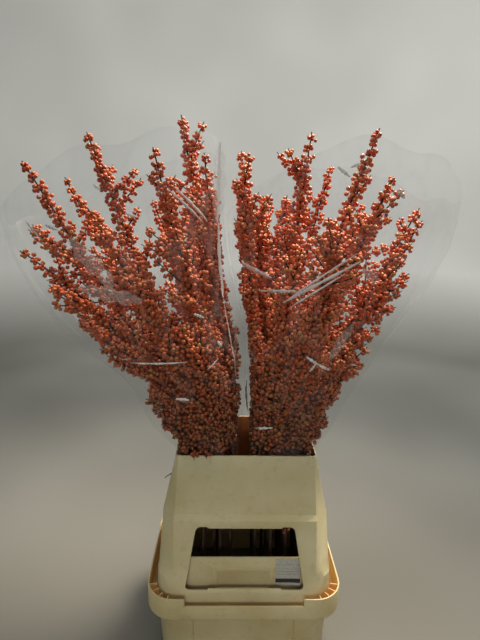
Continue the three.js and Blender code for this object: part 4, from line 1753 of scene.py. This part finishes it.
        for index, stem in enumerate(stems):
            shares = np.arange(self.foot_steps)[:, None] / self.foot_steps
            keep(lerp(stem.foot, stem.neck, shares),
                 np.full(self.foot_steps, self.stem_bare + self.between_branches), index)
            keep(*self.balls(stem.curve, self.between_branches), index)
        for index, stem in enumerate(stems):
            draw = SeededRandom(self.seed_first + self.seed_step * index)
            for twig_index in range(self.twig_count):
                share = lerp(*self.twig_span, (twig_index + draw() * 0.6) / self.twig_count)
                angle = draw() * FULL_TURN
                for attempt in range(self.twig_tries):
                    tried = 1 - attempt / self.twig_tries
                    length = lerp(self.twig_shortest, self.twig_longest, tried * (1 - 0.4 * share))
                    lean = lerp(*self.twig_lean, draw())
                    twig = BentLine(*self.twig_corners(stem, share, length, lean, angle))
                    angle += GOLDEN_ANGLE
                    points, sizes = (row[2:] for row in self.balls(twig, 0.0))
                    others = np.concatenate(owners) != index
                    near, wide = (np.concatenate(row)[others][None] for row in (centres, radii))
                    gaps = np.linalg.norm(points[:, None] - near, axis=2)
                    apart = (gaps > sizes[:, None] + wide).all()
                    if apart and self.clear(points, sizes, stem.side):
                        stem.twigs.append(twig)
                        keep(*self.balls(twig, self.between_branches), index)
                        break
        return stems


BERRY = -1
NOBODY = -2


class Crowd:
    """Balls sorted into cells, to keep berries out of each other and out of the wood."""

    CELL = 12.0

    def __init__(self) -> None:
        """Start with no balls."""
        self.cells: dict[tuple[int, int, int], list[tuple[float, float, float, float, int]]] = {}

    def add(self, centre: Array, radius: float, owner: int) -> None:
        """Add one ball, which belongs to a branch's wood or is a berry."""
        key = tuple(int(value // self.CELL) for value in centre)
        self.cells.setdefault(key, []).append((*centre, radius, owner))

    def fits(self, centre: Array, radius: float, owner: int, overlap: float) -> bool:
        """Tell whether a ball fits.

        Args:
            centre: its centre.
            radius: its radius.
            owner: the branch whose wood may touch it.
            overlap: how far balls may overlap, as a share of their radii.

        Returns:
            Whether every other ball leaves it room.
        """
        x, y, z = (float(value) for value in centre)
        base = [int(value // self.CELL) for value in (x, y, z)]
        for cell in product(*(range(at - 1, at + 2) for at in base)):
            for ox, oy, oz, other, name in self.cells.get(cell, ()):
                near = (radius + other) * (1 - overlap)
                if name != owner and (x - ox) ** 2 + (y - oy) ** 2 + (z - oz) ** 2 < near * near:
                    return False
        return True


@dataclass
class Shoot:
    """A length of wood with its berry nodes, in order from root to tip, free of the film or not."""

    points: Array
    radii: Array
    node_rows: Array
    from_tip: Array
    free: bool = False


@dataclass(frozen=True)
class Stray:
    """A short twig low on a stem that has slipped out of its bunch."""

    node: str
    share: float
    middle: tuple[float, float, float]
    tip: tuple[float, float, float]
    berried: bool = True


STRAYS = (
    Stray("branch_left_14", 0.975, (-98, -90, 478), (-101, -104, 440)),
    Stray("branch_left_12", 0.975, (-80, -90, 476), (-77, -103, 442)),
    Stray("branch_left_08", 0.9, (-140, -42, 382), (-166, -47, 366), False),
    Stray("branch_right_15", 0.72, (80, -74, 300), (88, -80, 258)),
)


@dataclass
class BerriedBranches:
    """Wood and berries of all branches, in the form that the skeletons give."""

    stems: list[Stem]
    seed: int = 500
    stem_radii: Pair = (3.0, 1.0)
    twig_radii: Pair = (1.4, 0.7)
    foot_swell: float = 1.25
    node_swell: float = 1.15
    wander: float = 0.8
    stem_root_bare: float = 4.0
    twig_root_bare: float = 5.0
    stray_clad: float = 40.0
    bare_step: float = 18.0
    bare_least: float = 30.0
    foot_top: float = 0.86
    foot_rows: int = 9
    berry_segments: int = 6
    berry_rings: int = 4
    dimple: float = 0.16
    inner_radius: float = 1.06
    berry_radius: float = 4.5
    berry_small: float = 3.6
    bare_tip: float = 11.0
    loose_reach: float = 105.0
    loose_pitch: float = 18.0
    dense_pitch: float = 12.0
    tip_pitch: float = 10.0
    low_nodes: tuple[float, ...] = (0.9, 0.925, 0.95, 0.975)
    near_wood: int = 5
    off_wood: int = 6
    tries: int = 4
    sink: float = 0.95
    overlap: float = 0.2
    film_gap: float = 0.4
    core_room: Pair = (28.0, 70.0)
    core_height: Pair = (900.0, 760.0)
    extra_twigs: int = 20
    centre_twigs: int = 22
    centre_reach: float = 170.0
    centre_pull: float = 0.45
    plain_depth: float = 0.03
    twig_tries: int = 360
    twig_lengths: Pair = (30.0, 125.0)
    twig_room: float = 4.5
    twig_apart: float = 6.0
    twig_ball: float = 2.0
    layer_out: Pair = (5.0, 8.5)
    tip_layer_out: Pair = (0.5, 3.5)
    # Below this height berries are darkened and browned more and more, as painted shade.
    shaded_below: float = 700.0
    shade_fall: float = 240.0
    crowd: Crowd = field(default_factory=Crowd)

    def berry_form(self) -> MeshPart:
        """Model one berry: a ball flattened a little, dimpled at its end, round its dark dot.

        Returns:
            The berry, of radius one.
        """
        select_none()
        bpy.ops.mesh.primitive_uv_sphere_add(segments=self.berry_segments,
                                             ring_count=self.berry_rings, radius=1.0)
        ball = bpy.context.object
        bpy.ops.object.mode_set(mode="EDIT")
        mesh = bmesh.from_edit_mesh(ball.data)
        for point in mesh.verts:
            point.select = point.co.z > 0.99
        mesh.select_flush_mode()
        bmesh.update_edit_mesh(ball.data)
        bpy.ops.transform.translate(value=(0, 0, -self.dimple))
        bpy.ops.mesh.select_all(action="SELECT")
        bpy.ops.transform.resize(value=(1.02, 1.02, 0.97))
        bpy.ops.object.mode_set(mode="OBJECT")
        return self.as_form(ball)

    def inner_form(self) -> MeshPart:
        """Model the plainer berry that fills a bunch's inside.

        Returns:
            A ball of twenty faces.
        """
        select_none()
        bpy.ops.mesh.primitive_ico_sphere_add(subdivisions=1, radius=self.inner_radius)
        return self.as_form(bpy.context.object)

    @staticmethod
    def as_form(ball: Object) -> MeshPart:
        """Read a ball as a part.

        Args:
            ball: the object, of radius one.

        Returns:
            The part, with its dark dot at its top.
        """
        berry = part_of(ball)
        berry.points *= MM
        aside, low = np.hypot(*berry.points[:, :2].T), berry.points[:, 2] < 0
        berry.values["dot"] = np.where(aside + low < 0.1, 1.0, 0.0)
        return berry

    def shoot(self, line: BentLine, clad: float, radii: Pair, draw: Generator,
              foot: Array | None = None, free: bool = False) -> Shoot:
        """Lay out one shoot.

        Args:
            line: the shoot's curve.
            clad: how far from the tip the berries reach.
            radii: the wood's radius at the root and at the tip.
            draw: seeded random numbers.
            foot: a straight foot's lowest point, below the root.
            free: whether it has slipped out of the film.

        Returns:
            The shoot's wood and berry nodes.
        """
        (root, tip), length = radii, line.length
        reach, places = self.bare_tip, []
        while reach < min(clad, length - self.stem_root_bare):
            places.append(reach)
            near_tip = max(0.0, 1 - reach / self.loose_reach)
            pitch = lerp(self.dense_pitch, self.loose_pitch, min(near_tip * 1.6, 1.0))
            reach += pitch * draw.uniform(0.85, 1.15)
        from_tip = np.array(places[::-1])
        along = np.concatenate([[0.0], length - from_tip, [length]])
        rest = length - clad
        if rest > self.bare_least:
            steps = np.arange(self.bare_step, rest, self.bare_step)
            along = np.sort(np.concatenate([along, steps]))
        points = np.array([line.point(min(at / length, 1.0)) for at in along])
        wander = draw.normal(0, self.wander, points.shape)
        wander[[0, -1]] = 0
        points += wander
        radii = lerp(tip, root, (1 - along / length) ** 0.8)
        rows = np.searchsorted(along, length - from_tip)
        radii[rows] *= self.node_swell
        if foot is not None:
            bare = np.linspace(0, self.foot_top, self.foot_rows)
            shares = np.concatenate([bare, self.low_nodes])
            below = length + (1 - shares[len(bare):]) * np.linalg.norm(points[0] - foot)
            points = np.concatenate([lerp(foot, points[0], shares[:, None]), points])
            radii = np.concatenate([lerp(root * self.foot_swell, root, shares), radii])
            rows = np.concatenate([np.arange(len(bare), len(shares)), rows + len(shares)])
            from_tip = np.concatenate([below, from_tip])
        return Shoot(points, radii, rows, from_tip, free)

    @staticmethod
    def wood(stem: Stem, shoots: list[Shoot]) -> MeshPart:
        """Sweep round tubes along a branch's shoots.

        Args:
            stem: the branch's skeleton.
            shoots: its wood.

        Returns:
            The tubes, closed at both ends.
        """
        curve = bpy.data.curves.new(stem.node, "CURVE")
        curve.dimensions = "3D"
        curve.bevel_depth = MM
        curve.bevel_resolution = 1
        curve.use_fill_caps = True
        for shoot in shoots:
            spline = curve.splines.new("POLY")
            spline.points.add(len(shoot.points) - 1)
            places = np.concatenate([shoot.points * MM, np.ones((len(shoot.points), 1))], axis=1)
            spline.points.foreach_set("co", places.ravel())
            spline.points.foreach_set("radius", shoot.radii)
        line = bpy.data.objects.new(stem.node, curve)
        bpy.context.collection.objects.link(line)
        select_only(line)
        bpy.ops.object.convert(target="MESH")
        return part_of(bpy.context.object)

    def extra_shoots(self, stem: Stem, draw: Generator) -> list[BentLine]:
        """Add short twigs where the film and the other wood leave room, next to the film first.

        Args:
            stem: the branch's skeleton.
            draw: seeded random numbers.

        Returns:
            The twigs.
        """
        found: list[BentLine] = []
        film, other = films_of(stem.side)
        tries = []
        for _ in range(self.twig_tries):
            share = draw.uniform(0.02, 0.9)
            length = draw.uniform(*self.twig_lengths) * (1 - 0.45 * share)
            tries.append(BunchGrower.twig_corners(stem, share, length, draw.uniform(0.4, 1.2),
                                                  draw.uniform(0, FULL_TURN)))
        root, middle, tip = (np.array(row)[:, None] for row in zip(*tries))
        points = quadratic(root, middle, tip, np.array([0.35, 0.65, 1.0])[None, :, None])
        flat = points.reshape(-1, 3)
        room, beyond = (sleeve.room(flat).reshape(-1, 3) for sleeve in (film, other))
        height = points[..., 2]
        clear = ((room > self.twig_room) | (height > film.top_rim())).all(axis=1)
        clear &= ((beyond < -self.twig_room) | (height > other.top_rim())).all(axis=1)
        clear &= (room[:, 2] < self.core_room[1]) | (height[:, 2] > self.core_height[1])
        central = abs(stem.curve.point(1.0)[0]) < self.centre_reach
        wanted = self.extra_twigs + (self.centre_twigs if central else 0)
        rank = room[:, 2] + self.centre_pull * np.abs(points[:, 2, 0])
        rank *= draw.uniform(0.15, 1.0, len(tries))
        for index in np.argsort(rank):
            if clear[index] and all(self.crowd.fits(point, self.twig_apart, NOBODY, 0.0)
                                    for point in points[index]):
                found.append(BentLine(*tries[index]))
                for share in (0.3, 0.5, 0.7, 0.85, 1.0):
                    self.crowd.add(found[-1].point(share), self.twig_ball, stem.owner)
            if len(found) == wanted:
                break
        return found

    def spots(self, shoot: Shoot, film: FilmShape, draw: Generator) -> dict[str, Array]:
        """Propose places for a shoot's berries: whorls on the wood, and looser ones outside them.

        Args:
            shoot: the wood and its nodes.
            film: the bunch's own sleeve.
            draw: seeded random numbers.

        Returns:
            Arrays by node, berry and try, which are centre and way, and arrays by node and berry,
            which are wanted, radius, tone and inside.
        """
        rows, slots = shoot.node_rows, self.near_wood + self.off_wood
        nodes = shoot.points[rows]
        ahead = np.minimum(rows + 1, len(shoot.points) - 1)
        axis = shoot.points[ahead] - shoot.points[rows - 1]
        axis /= np.linalg.norm(axis, axis=1, keepdims=True)
        helper = np.where(np.abs(axis[:, 2:]) < 0.9, [[0.0, 0, 1]], [[1.0, 0, 0]])
        first = np.cross(helper, axis)
        first /= np.linalg.norm(first, axis=1, keepdims=True)
        second = np.cross(axis, first)
        shape = (len(rows), slots, self.tries)
        outer = np.arange(slots) >= self.near_wood
        start = draw.uniform(0, FULL_TURN, (len(rows), 1, 1))
        place = np.arange(slots) / np.where(outer, self.off_wood, self.near_wood) * FULL_TURN
        turn = start + place[None, :, None] + draw.normal(0, 0.35, shape)
        turn += 0.5 * np.arange(self.tries)
        near_tip = np.clip(1 - shoot.from_tip / self.loose_reach, 0, 1)
        size = lerp(self.berry_radius, self.berry_small, np.clip(near_tip * 1.6 - 0.6, 0, 1))
        radius = size[:, None] * draw.uniform(0.88, 1.1, shape[:2])
        second_layer = lerp(draw.uniform(*self.layer_out, shape[:2]),
                            draw.uniform(*self.tip_layer_out, shape[:2]), near_tip[:, None])
        away = shoot.radii[rows][:, None] + radius * self.sink + outer * second_layer
        spread = lerp(self.dense_pitch, self.tip_pitch, near_tip)[:, None, None]
        slide = draw.uniform(-0.5, 0.5, shape) * spread
        aside = (np.cos(turn)[..., None] * first[:, None, None]
                 + np.sin(turn)[..., None] * second[:, None, None])
        lean = aside + axis[:, None, None] * draw.uniform(-0.2, 0.5, shape)[..., None]
        lean /= np.linalg.norm(lean, axis=-1, keepdims=True)
        along = axis[:, None, None] * slide[..., None]
        centre = nodes[:, None, None] + along + aside * away[..., None, None]
        near, far = self.core_room
        high, low = self.core_height
        deep = np.clip((film.room(nodes) - near) / (far - near), 0, 1)
        deep *= np.clip((high - nodes[:, 2]) / (high - low), 0, 1)
        share = np.where(outer, lerp(0.9, 0.25, deep)[:, None], lerp(1.0, 0.8, deep)[:, None])
        wanted = draw.uniform(0, 1, shape[:2]) < share
        tone = draw.uniform(0, 0.5, (len(rows), 1)) + draw.uniform(0, 0.4, shape[:2])
        inside = np.broadcast_to((deep > self.plain_depth)[:, None], shape[:2])
        return {"centre": centre, "way": lean, "wanted": wanted, "radius": radius, "tone": tone,
                "inside": inside}

    def berries(self, stem: Stem, shoots: list[Shoot], forms: list[MeshPart],
                draw: Generator) -> list[MeshPart]:
        """Set berries round a branch's nodes, clear of the film and of each other.

        Args:
            stem: the branch's skeleton.
            shoots: its wood and nodes.
            forms: the berry, and the plainer one for the bunch's inside.
            draw: seeded random numbers.

        Returns:
            The berries of each form.
        """
        film, other = films_of(stem.side)
        chosen = []
        for shoot in shoots:
            spots = self.spots(shoot, film, draw)
            centres, radius = spots["centre"], spots["radius"][..., None]
            flat = centres.reshape(-1, 3)
            room, beyond = (sleeve.room(flat).reshape(centres.shape[:3])
                            for sleeve in (film, other))
            height = centres[..., 2]
            allowed = (room > radius + self.film_gap) | (height > film.top_rim()) | shoot.free
            allowed &= (beyond < -radius - self.film_gap) | (height > other.top_rim())
            allowed &= spots["wanted"][..., None]
            for node, berry in np.argwhere(allowed.any(axis=2)):
                size = float(spots["radius"][node, berry])
                for attempt in np.flatnonzero(allowed[node, berry]):
                    centre = centres[node, berry, attempt]
                    if self.crowd.fits(centre, size, stem.owner, self.overlap):
                        self.crowd.add(centre, size, BERRY)
                        chosen.append((*centre, *spots["way"][node, berry, attempt], size,
                                       spots["tone"][node, berry], spots["inside"][node, berry]))
                        break
        picked = np.array(chosen)
        return [self.copies(form, picked[picked[:, -1] == index], draw)
                for index, form in enumerate(forms)]

    def copies(self, form: MeshPart, picked: Array, draw: Generator) -> MeshPart:
        """Copy a berry to its places, each turned and aged by itself, and darkened and browned low
        in the bunch as painted shade.

        Args:
            form: the berry's part.
            picked: rows of place, way, size, tone and the form's number.
            draw: seeded random numbers.

        Returns:
            All copies as one part.
        """
        middle, way, size, tone = picked[:, :3], picked[:, 3:6], picked[:, 6], picked[:, 7]
        # Painted shade: the lower a berry sits, the darker and browner it is made, and its tone
        # turns more golden.
        low = np.clip((self.shaded_below - middle[:, 2]) / self.shade_fall, 0, 1)
        age = np.clip(draw.normal(0.1, 0.15, len(picked)) + 0.6 * low, 0, 0.9)
        spin = draw.uniform(0, FULL_TURN, len(picked))
        aslant = np.stack([np.cos(spin), np.sin(spin), np.full(len(way), 0.3)], axis=1)
        first = np.cross(way, aslant)
        first /= np.linalg.norm(first, axis=1, keepdims=True)
        turned = np.stack([first, np.cross(way, first), way], axis=2)
        points = np.einsum("bij,vj->bvi", turned, form.points) * size[:, None, None]
        points += middle[:, None]
        count, corners = len(picked), len(form.points)
        starts = np.arange(count)[:, None] * corners
        return MeshPart(points.reshape(-1, 3), (form.corners[None] + starts).reshape(-1),
                        np.tile(form.face_sizes, count), 1,
                        {"tone": np.repeat(np.clip(tone + 0.15 * low, 0, 1), corners),
                         "age": np.repeat(age, corners), "dot": np.tile(form.values["dot"], count)})

    def shoots(self, stem: Stem, draw: Generator) -> list[Shoot]:
        """Lay out a branch's shoots, and set their wood in the crowd.

        Args:
            stem: the branch's skeleton.
            draw: seeded random numbers.

        Returns:
            The main shoot, the twigs, and the strays that slipped out of the film.
        """
        clad = stem.curve.length - self.stem_root_bare
        shoots = [self.shoot(stem.curve, clad, self.stem_radii, draw, stem.foot)]
        for twig in stem.twigs + self.extra_shoots(stem, draw):
            clad = twig.length - self.twig_root_bare
            shoots.append(self.shoot(twig, clad, self.twig_radii, draw))
        for shoot in shoots:
            for point, radius in zip(shoot.points, shoot.radii):
                self.crowd.add(point, radius, stem.owner)
        for stray in (stray for stray in STRAYS if stray.node == stem.node):
            root = lerp(stem.foot, stem.neck, stray.share)
            line = BentLine(root, *np.array([stray.middle, stray.tip], dtype=float))
            clad = self.stray_clad if stray.berried else 0.0
            shoots.append(self.shoot(line, clad, self.twig_radii, draw, free=True))
        return shoots

    def build(self, bark: Material, skin: Material) -> int:
        """Make every branch.

        Args:
            bark: the wood's finish.
            skin: the berries' finish.

        Returns:
            The number of berries.
        """
        forms = [self.berry_form(), self.inner_form()]
        draws = [np.random.default_rng(self.seed + index) for index in range(len(self.stems))]
        plans = [self.shoots(stem, draw) for stem, draw in zip(self.stems, draws)]
        total = 0
        for stem, shoots, draw in zip(self.stems, plans, draws):
            berries = self.berries(stem, shoots, forms, draw)
            total += sum(len(part.face_sizes) // len(form.face_sizes)
                         for part, form in zip(berries, forms))
            parts = [self.wood(stem, shoots), *berries]
            piece = join_parts(f"{stem.node}_berried", parts, [bark, skin])
            dress(piece, stem.node, "berried_branch")
        return total


# Studio


@dataclass
class Studio:
    """A pale round cove with soft lights, and the camera where the photograph was taken."""

    camera_place: tuple[float, float, float] = (-34.9, -907.4, 905.8)
    pitch_down: float = 13.276
    yaw: float = -1.224
    roll: float = 1.019
    focal_px: float = 465.0
    frame_px: float = 640.0
    sensor: float = 36.0
    floor_radius: float = 2400.0
    sweep: float = 900.0
    sweep_steps: int = 8
    wall_sides: int = 96
    wall_height: float = 4200.0

    def cove(self) -> None:
        """Spin up the floor with a wall that sweeps up all round."""
        profile = [(self.floor_radius * share, 0.0) for share in (0.4, 0.7, 1.0)]
        for step in range(1, self.sweep_steps + 1):
            turn = step / self.sweep_steps * math.pi / 2
            profile.append((self.floor_radius + self.sweep * math.sin(turn),
                            self.sweep * (1 - math.cos(turn))))
        profile.append((self.floor_radius + self.sweep, self.wall_height))
        turns = [side * FULL_TURN / self.wall_sides for side in range(self.wall_sides)]
        cove = loft("cove", [[Vector((radius * math.cos(turn), radius * math.sin(turn), height))
                              for turn in turns] for radius, height in profile], open_top=True)
        select_only(cove)
        bpy.ops.object.shade_smooth()
        cove.data.materials.append(PaintedCove().material())

    @staticmethod
    def lamp(name: str, place: tuple[float, float, float], target: tuple[float, float, float],
             size: Pair, power: float, tint: str, spread_deg: float = 180.0) -> None:
        """Hang one rectangular light. Places and sizes are metres.

        Args:
            name: the light's name.
            place: where it hangs.
            target: the place that it is aimed at.
            size: its width and height.
            power: its power in watts.
            tint: its colour.
            spread_deg: how wide its beam opens.
        """
        light = bpy.data.lights.new(name, "AREA")
        light.shape = "RECTANGLE"
        light.size, light.size_y = size
        light.energy = power
        light.color = linear(tint)[:3]
        light.spread = math.radians(spread_deg)
        lamp = bpy.data.objects.new(name, light)
        bpy.context.collection.objects.link(lamp)
        lamp.location = place
        lamp.rotation_mode = "QUATERNION"
        lamp.rotation_quaternion = (Vector(target) - Vector(place)).to_track_quat("-Z", "Y")

    def lights(self) -> None:
        """Hang a soft key above to the right, weak lights above and in front, and a wall wash."""
        self.lamp("softbox_key", (0.8, 0.75, 2.3), (0.05, 0.0, 0.75), (1.0, 0.8), 14.5,
                  "#fff0da", 64)
        self.lamp("softbox_over", (-0.3, -0.5, 2.5), (0.0, 0.0, 0.6), (1.4, 0.6), 1.5,
                  "#fff8ee", 80)
        self.lamp("fill_front", (-0.2, -2.3, 0.7), (0.0, 0.0, 0.15), (1.6, 0.8), 1.3, "#fdfaf2", 40)
        self.lamp("wall_wash", (0.5, 0.3, 2.7), (0.8, 3.2, 0.0), (3.0, 1.0), 74, "#fbfbf8", 150)
        world = bpy.data.worlds.new("studio_air")
        world.use_nodes = True
        world.node_tree.nodes.clear()
        air = add_node(world.node_tree, "Background", {"Color": linear("#dfe1e2"), "Strength": 0.6})
        add_node(world.node_tree, "OutputWorld", {"Surface": air.outputs[0]})
        bpy.context.scene.world = world
        bpy.context.scene.view_settings.view_transform = "Standard"

    def camera(self) -> None:
        """Set the camera at the photograph's place, tilt and focal length."""
        data = bpy.data.cameras.new("camera")
        data.sensor_width = self.sensor
        data.lens = self.focal_px / self.frame_px * self.sensor
        data.clip_start, data.clip_end = 0.05, 50
        camera = bpy.data.objects.new("camera", data)
        bpy.context.collection.objects.link(camera)
        yaw, pitch, roll = (math.radians(value) for value in (self.yaw, self.pitch_down, self.roll))
        level = Vector((-math.sin(yaw), math.cos(yaw), 0))
        ahead = level * math.cos(pitch) - Vector((0, 0, math.sin(pitch)))
        right = Vector((math.cos(yaw), math.sin(yaw), 0))
        up = right.cross(ahead)
        rolled_right = right * math.cos(roll) + up * math.sin(roll)
        rolled_up = up * math.cos(roll) - right * math.sin(roll)
        turn = Matrix((rolled_right, rolled_up, -ahead)).transposed().to_4x4()
        camera.matrix_world = Matrix.Translation(Vector(self.camera_place) * MM) @ turn
        bpy.context.scene.camera = camera


def main() -> None:
    """Build the studio and every piece, in order."""
    logging.basicConfig(level=logging.INFO, format="%(message)s")
    studio = Studio()
    studio.camera()
    studio.cove()
    studio.lights()

    cream = MouldedPolypropylene("polypropylene_moulded_cream", "#cfc6a0", "#c2b68a", "#94825c")
    buff = MouldedPolypropylene("polypropylene_moulded_buff", "#cac098", "#bdae80", "#8a7450")
    # Amber: painted glow of light through the plastic, and painted shade, on the collar's inner
    # faces.
    amber = MouldedPolypropylene("polypropylene_painted_glow_inside", "#c98545", "#b4702f", "#7d4a20",
                                 0.3)
    # Honey: painted glow of light through the brim, on the inside of the bucket's channel.
    honey = MouldedPolypropylene("polypropylene_backlit_honey", "#f0c684", "#e0ac66", "#a97a44",
                                 0.3)
    flower_bucket = FlowerBucket()
    bucket = flower_bucket.build()
    dress(bucket, "bucket", "bucket_plastic", buff.material(), honey.material())
    flower_bucket.paint_channel_glow(bucket)
    tapered_collar = TaperedCollar()
    collar = tapered_collar.build()
    dress(collar, "collar", "collar_plastic", cream.material(), amber.material())
    tapered_collar.paint_inside_glow(collar)
    low, high = (Vector(corner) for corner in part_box("label"))
    dress(PaperLabel().build(), "label", "label_paper", LabelPaper().material(low, high))

    water = frame["nodes"]["water"]
    water.data.materials.clear()
    water.data.materials.append(StillWater().material())

    stems = BunchGrower().grow()
    LOG.info("skeleton: %d stems, %d twigs", len(stems), sum(len(stem.twigs) for stem in stems))
    count = BerriedBranches(stems).build(WinterBark().material(), WaxyBerry().material())
    LOG.info("berries: %d", count)

    # The two fold finishes are nearly white: painted highlight on the film's folds.
    finishes = [PackingFilm("film_cast_clear", 0.006, 0.13, 0.32, 0.02).material(),
                PackingFilm("film_fold_painted_highlight_sharp", 0.85, 0.0, 0.12, 0.5).material(),
                PackingFilm("film_fold_painted_highlight_flat", 0.26, 0.0, 0.2, 0.3).material()]
    for shape in FILM_SHAPES.values():
        sleeve = FilmSleeve(shape)
        dress(sleeve.build(finishes), sleeve.name, "sleeve_film")


if __name__ == "__main__":
    main()
